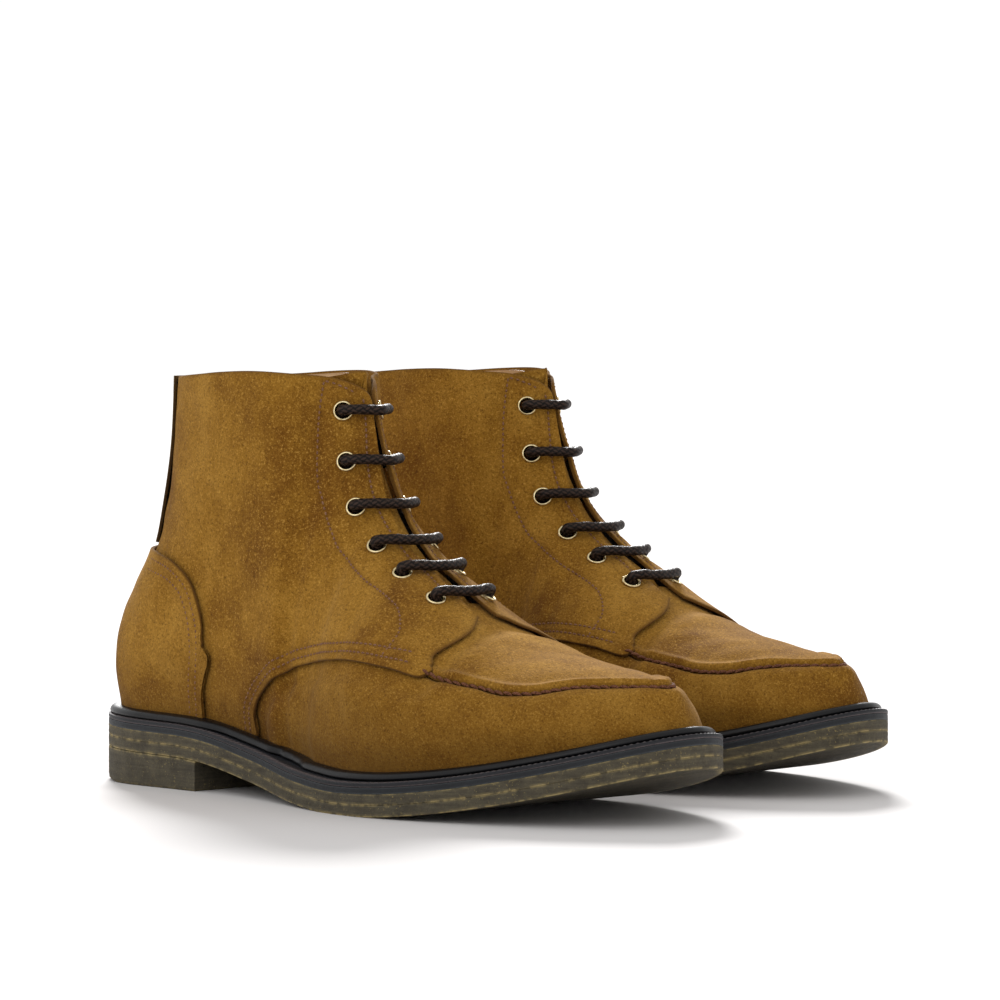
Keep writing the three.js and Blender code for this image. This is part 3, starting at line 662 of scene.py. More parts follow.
def threadMaterial(name, light, dark):
    m = Weave(name, 0.8, 0.08)
    twist = m.noise(2200, 2, 0.5, stretch=(1, 1, 2.2))
    colour = m.ramp(twist, [(0.35, linear(dark)), (0.65, linear(light))])
    return m.finish(colour, m.bump(twist, 0.0003, 0.7))


def brassMaterial(name):
    m = Weave(name, 0.3, 0.5)
    m.shader.inputs["Metallic"].default_value = 1.0
    smudge = m.noise(700, 3, 0.6)
    colour = m.ramp(smudge, [(0.3, linear((176, 154, 104))), (0.7, linear((232, 218, 178)))])
    rough = m.math("ADD", 0.18, m.math("MULTIPLY", smudge, 0.25))
    return m.finish(colour, m.bump(m.noise(1800, 2, 0.5), 0.00008, 0.4), rough)


def boardMaterial(name):
    m = Weave(name, 0.9, 0.2)
    fibre = m.noise(500, 4, 0.7, stretch=(1, 3, 1))
    colour = m.ramp(fibre, [(0.3, linear((110, 90, 62))), (0.7, linear((164, 142, 106)))])
    return m.finish(colour, m.bump(fibre, 0.0003, 0.6))


suede = suedeMaterial("tan_suede_nap")
stripSuede = suedeMaterial("back_strip_suede", 0.5, (60, 46, 30))
calf = liningMaterial("lining_calf", (204, 172, 130), (170, 134, 92))
bed = liningMaterial("footbed_calf", (188, 150, 104), (150, 112, 70))
# the third colour of each rubber is the colour of its painted highlights; on the welt it also colours the
# wheeled dots
randRubber = rubberMaterial("rand_gloss", (8, 8, 10), (60, 62, 68), 0.34, 0.00012)
weltRubber = rubberMaterial("welt_wheeled", (20, 22, 26), (112, 102, 102), 0.55)
midRubber = rubberMaterial("midsole_slate", (26, 28, 31), (78, 82, 84), 0.55)
crepe = crepeMaterial("speckled_crepe_rubber")
waxed = cordMaterial("waxed_braid")
mauve = threadMaterial("upper_thread", (142, 106, 82), (78, 50, 36))
moc = threadMaterial("moc_thread", (122, 80, 58), (56, 32, 22))
brass = brassMaterial("pale_brass_plate")
board = boardMaterial("fibre_board_plain")
print("stage: finishes are made")


def lineOn(pairs, side, depth=0.0, count=400):
    # a line over the upper through (u, w) knots
    knots = catmull(pairs, np.linspace(0, 1, count))
    turn = turnAt(knots[:, 0], knots[:, 1])
    return offset(onSlice(turn, knots[:, 1], side), np.full(count, depth))


def halfLine(pairs, side, depth=0.0, count=400):
    # the same through (half breadth, w) knots beside the front ridge
    knots = catmull(pairs, np.linspace(0, 1, count))
    turn = turnAtHalf(knots[:, 0], knots[:, 1])
    return offset(onSlice(turn, knots[:, 1], side), np.full(count, depth))


def shifted(pairs, distance):
    # parallel line in side view, to the left of the direction of travel
    p = catmull(pairs, np.linspace(0, 1, 60))
    d = np.gradient(p, axis=0)
    d /= np.linalg.norm(d, axis=1, keepdims=True)
    return np.stack([p[:, 0] - d[:, 1] * distance, p[:, 1] + d[:, 0] * distance], axis=-1)


topline = [(36, 156.2), (60, 157.8), (85, 159.2), (103, 159.6), (118, 158.6), (128, 157), (135, 153.8)]
facingGap = curve([(70, 3.6), (106, 3.4), (116, 2.9), (128, 1.8), (140, 1.1), (149, 0.8)])
facingEdge = [149, 140, 128, 116, 106, 96, 87, 79, tabCorner]
counterEdge = [(73.5, 27), (75.3, 36), (76, 44), (76.4, 56), (75, 66), (71.5, 74.5), (66, 81.5),
               (56, 87), (40, 89.6)]
facingRear = [(124.8, 156), (124.6, 139.5), (126.7, 119.8), (130.1, 112), (135.9, 101), (143.9, 92.2),
              (161.3, 82.8), (174, 77.6), (181.3, 73.5), (187.9, 66.5), (189, 61.5), (188.6, 57.6)]
stitchSet = {"pitch": 2.15, "length": 1.75, "radius": 0.4, "groove": 0.3, "grooveWidth": 0.9,
             "rows": (3.0, 6.1), "counterRows": (3.2, 7.2)}


def stitchRows(side):
    # name: line on the outer face
    arc = [*arcKnots[:-1], (203.6, 52.2)]
    rows = {}
    for k, d in enumerate(stitchSet["rows"]):
        line = shifted(arc, d)
        line = line[line[:, 0] < 201.5 - d * 0.3]
        rows[f"quarter_arc_{k + 1}"] = lineOn(line, side)
    rows["facing_rear"] = lineOn(facingRear, side)
    front = [(3.4, 149.5), (3.7, 142), (4.7, 134), (5.9, 126), (6.8, 118), (7.3, 110),
             (7.4, 102), (7.2, 92), (7.2, 84), (7.6, 77.5)]
    rows["facing_front"] = halfLine(front, side)
    top = [(124.8, 156), (128.2, 154.9), (131.4, 153.4), (134, 151.6)]
    rows["facing_top"] = lineOn(top, side)
    return rows


def counterRows(side):
    lift = 0.9 + lastSet["suede"]
    rows = {}
    for k, d in enumerate(stitchSet["counterRows"]):
        line = shifted(counterEdge, d)
        line = line[line[:, 0] > backLine(line[:, 1]) + 1.5]
        line = line[line[:, 1] > seat(line[:, 0]) + 1.5]
        rows[f"counter_{k + 1}"] = lineOn(line, side, lift)
    return rows


def seamLine():
    # the moc seam all round the toe, from one side to the other
    rays = vampRays(204, 40, 60)
    return seamPoint(rays, 0.0)


def vampRays(rear, sideSteps, toeSteps):
    rays = [(rear + (lastSet["toePivot"] - rear) * i / sideSteps, 0.0, 1.0) for i in range(sideSteps)]
    for i in range(toeSteps + 1):
        t = i / toeSteps
        angle = math.pi / 2 * (t + 0.16 * math.sin(math.pi * 2 * t) / 2)
        rays.append((lastSet["toePivot"] + 54 * math.sin(angle), math.sin(angle), math.cos(angle)))
    return np.array(rays + [(u, du, -dv) for u, du, dv in rays[-2::-1]])


def onRay(rays, w):
    # rays (n, 3) against heights of any matching shape
    u0 = np.minimum(rays[..., 0], lastSet["toePivot"]) + 0 * w
    v0 = middle(u0, w)
    du, dv = rays[..., 1] + 0 * w, rays[..., 2] + 0 * w
    reach = bisect(lambda r: outside(u0 + du * r, v0 + dv * r, w) < 0, 0, 110, u0)
    return np.stack([u0 + du * reach, v0 + dv * reach, w + 0 * u0], axis=-1)


def seamPoint(rays, rise):
    return onRay(rays, seamHeight(rays[:, 0]) + rise)


def aheadOfQuarter(u, w):
    corner = float(frontLine(tabCorner))
    line = [(104.5, 0), *arcKnots, tabTip, (corner, tabCorner), (corner - 12, 84)]
    best = np.full(np.shape(u), 1e9)
    for a, b in zip(line[:-1], line[1:]):
        d = (b[0] - a[0], b[1] - a[1])
        t = ((u - a[0]) * d[0] + (w - a[1]) * d[1]) / (d[0] ** 2 + d[1] ** 2)
        k = np.clip(t, 0, 1)
        best = np.minimum(best, np.hypot(u - a[0] - d[0] * k, w - a[1] - d[1] * k))
    edge = curve(arcKnots)(u)
    slant = tabTip[0] - (w - tabTip[1]) * (tabTip[0] - corner) / (tabCorner - tabTip[1])
    covered = np.where(u < 104.5, True, np.where(u < 205, w > edge, (w > 51.5) & (u < slant)))
    return np.where(covered, -best, best)


def vampDip(p):
    return -lastSet["dip"] * (1 - ease(4, 11, aheadOfQuarter(p[..., 0], p[..., 2])))


quarterSet = {"columns": 190, "rows": 84, "wave": 0.3, "hole": 3.2,
              "cup": 0.3, "cupRadius": 3.6, "cupWidth": 1.4}


def quarterLines():
    low = [*featherKnots([9, 20, 40, 65, 90]), *knotsFrom(arcKnots), *knotsFrom([tabTip])]
    low[0] = (0.012, low[0][1])
    high = [*knotsFrom(topline),
            *[(float(turnAtHalf(facingGap(w), w)), w) for w in facingEdge]]
    high[0] = (0.012, high[0][1])
    return low, high


def upright(s):
    return 1 + ease(0.25, 0.42, s) * (1 - ease(0.55, 0.8, s))


def roundCorner(turn, w, s, t):
    # rounds off the free lower corner of the facing
    near = ease(0.955, 1.0, s)
    pull = near * ease(0.72, 1.0, t) ** 2
    return turn - 0.02 * pull, w + 0.5 * pull


def eyeletSpot(row, side):
    w, half = eyeletRows[row]
    return onSlice(turnAtHalf(half, w), w, side)


def upperWave(p, seed):
    # slow unevenness of worked leather, none at the feather line
    lift = ease(3, 22, p[..., 2] - seat(p[..., 0]))
    return lift * (quarterSet["wave"] * softNoise(p, 34, seed) + 0.12 * softNoise(p, 13, seed + 1))


def quarter(side, flank):
    s = crowded(quarterSet["columns"], length=250)
    t = crowded(quarterSet["rows"], length=115)
    low, high = quarterLines()
    base = onSideGrid(low, high, s, t, flank, roundCorner, upright)
    drop = crossed(edgeDrop(len(s), first=False), edgeDrop(len(t), first=True))
    mark = crossed(edgeMark(len(s), first=False), edgeMark(len(t), first=True))
    wave = upperWave(base, 11 if side == "right" else 31)
    groove = np.zeros(base.shape[:2])
    for line in stitchRows(flank).values():
        d = nearest(base, line)
        groove = np.maximum(groove, np.exp(-(d / stitchSet["grooveWidth"]) ** 2))
    cup = np.zeros(base.shape[:2])
    keep = np.ones((len(s) - 1, len(t) - 1), bool)
    outer = layerPoint(base, wave - drop - stitchSet["groove"] * groove)
    inner = layerPoint(base, -lastSet["suede"] + np.minimum(wave, 0.1) + drop)
    for row in range(len(eyeletRows)):
        spot = eyeletSpot(row, flank)
        n = normalAt(spot)
        away = base - spot
        flat = away - (away @ n)[..., None] * n
        r = np.linalg.norm(flat, axis=-1)
        ring = np.exp(-((r - quarterSet["cupRadius"]) / quarterSet["cupWidth"]) ** 2)
        cup = np.maximum(cup, ring * (r > 2))
        inside = r < quarterSet["hole"]
        hit = inside[:-1, :-1] | inside[1:, :-1] | inside[:-1, 1:] | inside[1:, 1:]
        keep &= ~hit
        touched = np.zeros(r.shape, bool)
        for di in (0, 1):
            for dj in (0, 1):
                touched[di:len(s) - 1 + di, dj:len(t) - 1 + dj] |= hit
        snap = touched & ~inside
        scale = np.where(snap, quarterSet["hole"] / np.maximum(r, 1e-6) - 1, 0)
        outer = outer + flat * scale[..., None]
        inner = inner + flat * scale[..., None]
    outer = outer - normalAt(base) * (quarterSet["cup"] * cup)[..., None]
    points = np.concatenate([outer.reshape(-1, 3), inner.reshape(-1, 3)])
    name = "outer" if flank > 0 else "inner"
    # edge: the real colour of the cut edges, and painted shade in the stitch grooves
    edge = np.concatenate([np.maximum(mark, 0.45 * groove).ravel(), mark.ravel()])
    makePiece(f"{side}_quarter_{name}_suede", points, sheetFaces(len(s), len(t), keep), side, suede,
              [f"{side}_quarter_{name}"], edge=edge)


mocSet = {"roll": 1.5, "rollAt": 2.9, "rollWide": 2.0, "crease": 1.1, "creaseWide": 1.0,
          "swell": 0.45, "swellAt": 4.5, "swellWide": 3.0}


def footOfRays(rays):
    def low(w):
        return w < seat(onRay(rays, w)[..., 0]) + lastSet["feather"]
    return bisect(low, 8, 45, rays[:, 0])


def vamp(side):
    rays = vampRays(97, 90, 70)
    t = crowded(46, length=42)
    foot = footOfRays(rays)[:, None]
    top = (seamHeight(rays[:, 0]) - lastSet["seamGap"] / 2)[:, None]
    base = onRay(rays[:, None, :], foot + (top - foot) * t[None, :])
    seam = seamLine()
    d = nearest(base, seam)
    show = ease(-1, 3, aheadOfQuarter(base[..., 0], base[..., 2]))
    shape = (-mocSet["crease"] * np.exp(-(d / mocSet["creaseWide"]) ** 2)
             + mocSet["swell"] * np.exp(-((d - mocSet["swellAt"]) / mocSet["swellWide"]) ** 2)) * show
    wave = upperWave(base, 51 if side == "right" else 71) * show
    drop = edgeDrop(len(t), first=False)[None, :] * 0.5
    dip = vampDip(base)
    outer = layerPoint(base, dip + shape + wave - drop)
    inner = layerPoint(base, dip - lastSet["suede"] + np.minimum(shape + wave, 0) + drop)
    # painted shade: darker along the moc seam crease (mark), and towards the feather line at the bottom
    # (dark)
    mark = 0.5 * np.exp(-(d / 1.1) ** 2) + 0 * drop
    dark = 0.35 * (1 - ease(0.5, 5, base[..., 2] - seat(base[..., 0])))
    edge = np.concatenate([np.maximum(mark, dark).ravel(), mark.ravel()])
    points = np.concatenate([outer.reshape(-1, 3), inner.reshape(-1, 3)])
    makePiece(f"{side}_vamp_suede", points, sheetFaces(len(rays), len(t)), side, suede,
              [f"{side}_vamp"], edge=edge)


def apron(side):
    across = 84
    rays = vampRays(191, 50, 60)
    half = (len(rays) - 1) // 2
    flip = rays * np.array([1, 1, -1])
    rise = lastSet["seamGap"] / 2
    a, b = seamPoint(rays[:half], rise), seamPoint(flip[:half], rise)
    tip = seamPoint(rays[half:half + 1], rise)[0]
    extra = [(a[-1] + (tip - a[-1]) * k, b[-1] + (tip - b[-1]) * k) for k in (0.35, 0.7, 0.92)]
    a = np.vstack([a, *[e[0][None] for e in extra]])
    b = np.vstack([b, *[e[1][None] for e in extra]])
    j = np.linspace(0, 1, across + 1)
    t = (0.5 - 0.5 * np.cos(math.pi * j))[None, :]
    u = a[:, :1] + (b[:, :1] - a[:, :1]) * t
    v = a[:, 1:2] + (b[:, 1:2] - a[:, 1:2]) * t
    low = np.minimum(a[:, 2:3], ridge(u) - 0.5)
    w = bisect(lambda z: outside(u, v, z) < 0, low, ridge(u) + 4, u)
    w[:, 0], w[:, -1] = a[:, 2], b[:, 2]
    base = np.stack([u, v, w], axis=-1)
    d = nearest(base, seamLine())
    show = ease(-2, 3, aheadOfQuarter(base[..., 0], base[..., 2]))
    shape = (-mocSet["crease"] * 1.2 * np.exp(-(d / mocSet["creaseWide"]) ** 2)
             + mocSet["roll"] * np.exp(-((d - mocSet["rollAt"]) / mocSet["rollWide"]) ** 2)) * show
    wave = upperWave(base, 91 if side == "right" else 111) * show
    dip = vampDip(base)
    outer = offset(base, dip + shape + wave)
    inner = offset(base, dip - lastSet["suede"] + np.minimum(shape, 0) + np.minimum(wave, 0))
    # painted shade along the moc seam crease
    mark = 0.5 * np.exp(-(d / 1.1) ** 2)
    points = np.concatenate([outer.reshape(-1, 3), inner.reshape(-1, 3)])
    makePiece(f"{side}_apron_suede", points, sheetFaces(len(a), across + 1), side, suede,
              [f"{side}_apron"], edge=np.concatenate([mark.ravel(), mark.ravel()]))


def wrapped(lower, upper, across, rise):
    # one grid carried round the back line from the inner to the outer side
    outer = onSideGrid(lower, upper, across, rise, 1)
    inner = onSideGrid(lower, upper, across, rise, -1)
    return np.concatenate([inner[:0:-1], outer])


def counter(side):
    # closely spaced knots, because the turn changes quickly up the front edge
    front = curve([(27, 73.5), (36, 75.3), (44, 76), (56, 76.4)])
    low = [(0, float(seat(8)) + 0.25), *featherKnots([14, 28, 42, 55, 65, 71, 73.5]),
           *knotsFrom([(float(front(w)), w) for w in range(30, 56, 2)])]
    high = [(0, 91), *bentKnots([(40, 89.6), (56, 87), (66, 81.5), (71.5, 74.5), (75, 66),
                                 (76.4, 56)])]
    s = np.concatenate([np.linspace(0, 0.985, 84), [0.989, 0.994, 0.9975, 1]])
    t = crowded(48, length=62)
    base = wrapped(low, high, s, t)
    count = len(base)
    drop = crossed(edgeDrop(count), edgeDrop(len(t), first=False))
    mark = crossed(edgeMark(count), edgeMark(len(t), first=False))
    groove = np.zeros(base.shape[:2])
    for flank in (1, -1):
        for line in counterRows(flank).values():
            groove = np.maximum(groove, np.exp(-(nearest(base, line) / 2.5) ** 2))
    lift = 0.9
    wave = upperWave(base, 11 if side == "right" else 31)
    puff = 0.25 * softNoise(base, 22, 5)
    outer = layerPoint(base, lift + lastSet["suede"] + wave + 0.12 * puff - drop - 0.25 * groove)
    inner = layerPoint(base, lift + 0.1 + drop)
    points = np.concatenate([outer.reshape(-1, 3), inner.reshape(-1, 3)])
    # edge: the real colour of the cut edges, and painted shade in the stitch grooves
    edge = np.concatenate([np.maximum(mark, 0.3 * groove).ravel(), mark.ravel()])
    makePiece(f"{side}_heel_counter_suede", points, sheetFaces(count, len(t)), side, suede,
              [f"{side}_heel_counter"], edge=edge)


def backStrip(side):
    levels = np.interp(np.linspace(0, 1, 60), [0, 1], [92.5, 157.2])
    ks = np.concatenate([[-1, -0.98, -0.95], np.linspace(-0.9, 0.9, 25), [0.95, 0.98, 1]])
    rim = np.interp(np.abs(ks), [0.9, 0.95, 0.98, 1], [0, 0.02, 0.12, 0.35])
    rows = []
    for k in ks:
        front = frontLine(levels)
        half = abs(k) * 16.9
        turn = bisect(lambda t: np.abs(onSlice(t, levels, 1, front)[..., 1]) < half, 0, 1, levels)
        rows.append(onSlice(turn if k else 0 * levels, levels, np.sign(k) or 1))
    base = np.stack(rows, axis=1)
    outer = offset(base, 1.75 - rim[None, :] + 0 * base[..., 0])
    inner = offset(base, 0.55 + 0 * base[..., 0])
    points = np.concatenate([outer.reshape(-1, 3), inner.reshape(-1, 3)])
    mark = np.repeat(np.clip(rim * 3, 0, 1)[None, :], len(levels), axis=0)
    makePiece(f"{side}_back_strip_suede", points, sheetFaces(len(levels), len(ks)), side, stripSuede,
              [f"{side}_back_strip"], edge=np.concatenate([mark.ravel(), mark.ravel()]))


def lining(side):
    low = [(0, float(seat(8)) + 0.25), *featherKnots([14, 34, 60, 88])]
    edge = [(float(turnAtHalf(24, w)), w) for w in (152, 140, 126, 112, 101, 95)]
    high = [(0, 156.4), *knotsFrom([(60, 157.2), (85, 158.2), (104, 158.2)]), *edge]
    s = np.concatenate([np.linspace(0, 0.98, 80), [0.987, 0.993, 1]])
    t = crowded(60, length=125)
    base = wrapped(low, high, s, t)
    sink = 4.5 + 1.3 * (1 - ease(64, 82, base[..., 2]))
    drop = crossed(edgeDrop(len(base)), edgeDrop(len(t), first=False)) * 0.7
    outer = layerPoint(base, -sink - drop)
    inner = layerPoint(base, -sink - 1.0 + drop + 0.15 * softNoise(base, 26, 7))
    mark = crossed(edgeMark(len(base)), edgeMark(len(t), first=False))
    points = np.concatenate([outer.reshape(-1, 3), inner.reshape(-1, 3)])
    makePiece(f"{side}_lining_calf", points, sheetFaces(len(base), len(t)), side, calf,
              [f"{side}_lining"], edge=np.concatenate([mark.ravel(), mark.ravel()]))


tongueDepth = curve([(66, 4.6), (69.5, 4.6), (74, 6.7), (80, 6.8), (144, 6.8), (150, 5.4),
                     (156, 3.2), (160, 1.8)])


def tongue(side):
    t = crowded(90, length=110)
    stand = 67.5 + (160 - 67.5) * t
    ks = np.concatenate([[-1, -0.985, -0.96, -0.92], np.linspace(-0.86, 0.86, 31), [0.92, 0.96, 0.985, 1]])
    rows, deep = [], []
    for k in ks:
        levels = stand - 3 * k * k * ease(140, 160, stand)
        front = frontLine(levels)
        half = (15.5 - 2.5 * ease(150, 160, levels)) * abs(k)

        def wider(x):
            p = onSlice(x, levels, 1, front)
            return p[..., 1] - middle(p[..., 0], levels) > half
        turn = bisect(wider, math.pi * 0.55, math.pi, levels) if k else math.pi + 0 * levels
        rows.append(onSlice(turn, levels, np.sign(k) or 1, front))
        swell = ease(70, 80, levels) * (1 - ease(144, 154, levels)) * (1 - ease(0.2, 0.55, abs(k)))
        deep.append(tongueDepth(levels) - 4.0 * swell)
    base, deep = np.stack(rows, axis=1), np.stack(deep, axis=1)
    drop = crossed(edgeDrop(len(stand)), edgeDrop(len(ks)))
    mark = crossed(edgeMark(len(stand)), edgeMark(len(ks)))
    wave = 0.12 * softNoise(base, 17, 3 if side == "right" else 4)
    outer = offset(base, -deep - drop + wave)
    inner = offset(base, -deep - lastSet["suede"] + drop + wave)
    points = np.concatenate([outer.reshape(-1, 3), inner.reshape(-1, 3)])
    makePiece(f"{side}_tongue_suede", points, sheetFaces(len(stand), len(ks)), side, suede,
              [f"{side}_tongue"], body=f"{side}_tongue",
              edge=np.concatenate([mark.ravel(), mark.ravel()]))


for side in sides:
    quarter(side, 1)
    quarter(side, -1)
    vamp(side)
    apron(side)
    counter(side)
    backStrip(side)
    lining(side)
    tongue(side)
print("stage: the leather is cut and lasted")


def frames(points, ahead, lean=0.0):
    # along, across and out directions on the upper, one set for each point
    n = normalAt(points)
    across = np.cross(n, ahead)
    across /= np.linalg.norm(across, axis=1, keepdims=True)
    along = np.cross(across, n)
    if lean:
        c, s = math.cos(lean), math.sin(lean)
        along, across = along * c + across * s, across * c - along * s
    return along, across, n


def beanMesh(segments, rings):
    # a stitch is one small rounded bean, lengthened along X
    bpy.ops.object.select_all(action="DESELECT")
    bpy.ops.mesh.primitive_uv_sphere_add(segments=segments, ring_count=rings, radius=1,
                                         rotation=(0, math.pi / 2, 0))
    bean = bpy.context.object
    bpy.ops.object.transform_apply(location=True, rotation=True, scale=True)
    points = np.array([v.co[:] for v in bean.data.vertices])
    faces = [tuple(f.vertices) for f in bean.data.polygons]
    bpy.data.objects.remove(bean)
    return points, faces


bean, beanFaces = beanMesh(8, 6)


def sewRow(name, side, line, mat, pitch, length, radius, sink, lean=0.0):
    points, ahead = measured(line, pitch)
    along, across, out = frames(points, ahead, lean)
    rng = np.random.default_rng(len(points))
    allPoints, allFaces = [], []
    for i in range(len(points)):
        x, y, z = bean.T
        sizeNow = 1 + rng.uniform(-0.07, 0.07)
        # ends of the stitch dive into the leather
        height = z * radius - sink - (x * x) * radius * 0.9
        p = (points[i] + along[i] * (x * length / 2 * sizeNow)[:, None]
             + across[i] * (y * radius)[:, None] + out[i] * height[:, None])
        allFaces += [tuple(k + len(bean) * i for k in f) for f in beanFaces]
        allPoints.append(p)
    return makePiece(name, np.concatenate(allPoints), allFaces, side, mat, sharp=80)


mocStitch = {"pitch": 3.5, "length": 4.4, "radius": 0.62, "sink": 0.15, "lean": 0.26}


def sewBoot(side):
    for flank, label in ((1, "outer"), (-1, "inner")):
        for name, line in stitchRows(flank).items():
            line = line + normalAt(line) * upperWave(line, 11 if side == "right" else 31)[:, None]
            sewRow(f"{side}_stitches_{name}_{label}", side, line, mauve, stitchSet["pitch"],
                   stitchSet["length"], stitchSet["radius"], 0.2)
        for name, line in counterRows(flank).items():
            line = line + normalAt(line) * upperWave(line, 11 if side == "right" else 31)[:, None]
            sewRow(f"{side}_stitches_{name}_{label}", side, line, mauve, stitchSet["pitch"],
                   stitchSet["length"], stitchSet["radius"], 0.2)
    seam = seamLine()
    ahead = aheadOfQuarter(seam[:, 0], seam[:, 2])
    seam = seam[ahead > -1.0]
    sewRow(f"{side}_stitches_moc_seam", side, seam, moc, mocStitch["pitch"], mocStitch["length"],
           mocStitch["radius"], mocStitch["sink"], mocStitch["lean"])


for side in sides:
    sewBoot(side)
print("stage: seams are sewn")


eyeletSet = {"bore": 2.75, "rim": 3.75, "top": 0.75, "under": -2.3, "steps": 48}


def eyeletShape():
    # the section of the rolled rim and barrel, spun round into a ring
    bore, rim, top, under = (eyeletSet[k] for k in ("bore", "rim", "top", "under"))
    section = [(bore, under), (bore + 0.85, under), (bore + 0.4, under + 0.3), (bore + 0.32, 0.05),
               (rim - 0.12, 0.0), (rim, 0.18), (rim - 0.02, 0.42), (rim - 0.2, 0.66),
               (rim - 0.45, top), (rim - 0.72, 0.7), (bore + 0.08, 0.42), (bore, 0.1)]
    bpy.ops.object.select_all(action="DESELECT")
    bpy.ops.mesh.primitive_circle_add(vertices=len(section), radius=1, fill_type="NOTHING")
    ring = bpy.context.object
    for vertex, (r, z) in zip(ring.data.vertices, section):
        vertex.co = (r, 0, z)
    bpy.ops.object.mode_set(mode="EDIT")
    bpy.ops.mesh.select_all(action="SELECT")
    bpy.ops.mesh.spin(steps=eyeletSet["steps"], angle=2 * math.pi, center=(0, 0, 0), axis=(0, 0, 1))
    bpy.ops.mesh.select_all(action="SELECT")
    bpy.ops.mesh.remove_doubles(threshold=0.001)
    bpy.ops.object.mode_set(mode="OBJECT")
    points = np.array([v.co[:] for v in ring.data.vertices])
    faces = [tuple(f.vertices) for f in ring.data.polygons]
    bpy.data.objects.remove(ring)
    return points, faces


ringPoints, ringQuads = eyeletShape()


def setEyelet(side, flank, row):
    spot = eyeletSpot(row, flank)
    n = normalAt(spot)
    across = np.cross(n, (0, 0, 1.0))
    across /= np.linalg.norm(across)
    up = np.cross(across, n)
    points = (spot + ringPoints[:, :1] * across + ringPoints[:, 1:2] * up
              + (ringPoints[:, 2:] - 0.05) * n)
    name = f"{side}_eyelet_{'outer' if flank > 0 else 'inner'}_{row + 1}"
    makePiece(f"{name}_ring", points, ringQuads, side, brass, [name], sharp=50)


for side in sides:
    for flank in (1, -1):
        for row in range(len(eyeletRows)):
            setEyelet(side, flank, row)
print("stage: eyelets are set")


laceSet = {"radius": 1.95, "relief": 0.22, "around": 32, "step": 0.3, "twist": 0.5, "strands": 3,
           "core": 1.5, "clear": 0.25, "under": 1, "barrel": 3.05, "wall": 0.6}


def lacePath():
    above = laceSet["core"] + eyeletSet["top"]
    below = -lastSet["suede"] - laceSet["under"] - laceSet["core"] - laceSet["clear"]
    beside = laceSet["barrel"] + laceSet["wall"] + laceSet["core"] + laceSet["clear"]
    path = []

    def add(w, half, flank, depth):
        turn = turnAtHalf(half, w) if half > 0 else math.pi
        path.append(offset(onSlice(turn, w, flank), depth))

    def through(row, flank, depths):
        spot = eyeletSpot(row, flank)
        path.extend(offset(spot, d) for d in depths)
    last = len(eyeletRows) - 1
    firstW, firstHalf = eyeletRows[0]
    topW, topHalf = eyeletRows[last]
    add(firstW + 24, firstHalf + beside, 1, below)
    add(firstW + 14, firstHalf + beside, 1, below)
    add(firstW + 6, firstHalf + beside * 0.9, 1, below)
    for row, (w, half) in enumerate(eyeletRows):
        flank = -1 if row % 2 else 1
        through(row, flank, [below + 0.4, -0.6, above + 0.35])
        add(w, half * 0.7, flank, above + 1.1)
        add(w, half * 0.36, flank, above + 0.6)
        add(w, 0, flank, above + 0.6)
        add(w, half * 0.36, -flank, above + 0.6)
        add(w, half * 0.7, -flank, above + 1.1)
        through(row, -flank, [above + 0.35, -0.6, below + 0.4])
        if row < last:
            nextW, nextHalf = eyeletRows[row + 1]
            for k in (0.35, 0.65):
                add(w + (nextW - w) * k, half + (nextHalf - half) * k, -flank, below)
    end = 1 if last % 2 else -1
    add(topW - 6, topHalf + beside * 0.8, end, below)
    add(topW - 16, topHalf + beside + 0.6, end, below)
    add(topW - 30, topHalf + beside + 1, end, below)
    return np.array(path)


def smoothRoute(path, step):
    # centripetal line through the points, measured evenly
    gaps = np.linalg.norm(np.diff(path, axis=0), axis=1) ** 0.5
    knots = np.concatenate([[0], np.cumsum(gaps)])
    slopes = np.zeros_like(path)
    for k in range(len(path)):
        a, b = max(k - 1, 0), min(k + 1, len(path) - 1)
        slopes[k] = (path[b] - path[a]) / (knots[b] - knots[a])
    fine = []
    for k in range(len(path) - 1):
        h = knots[k + 1] - knots[k]
        t = np.linspace(0, 1, 40, endpoint=False)[:, None]
        s = 1 - t
        fine.append((1 + 2 * t) * s * s * path[k] + t * s * s * h * slopes[k]
                    + t * t * (3 - 2 * t) * path[k + 1] - t * t * s * h * slopes[k + 1])
    fine = np.vstack([*fine, path[-1:]])
    run = np.concatenate([[0], np.cumsum(np.linalg.norm(np.diff(fine, axis=0), axis=1))])
    want = np.linspace(0, run[-1], int(run[-1] / step))
    return np.stack([np.interp(want, run, fine[:, k]) for k in range(3)], axis=-1), want


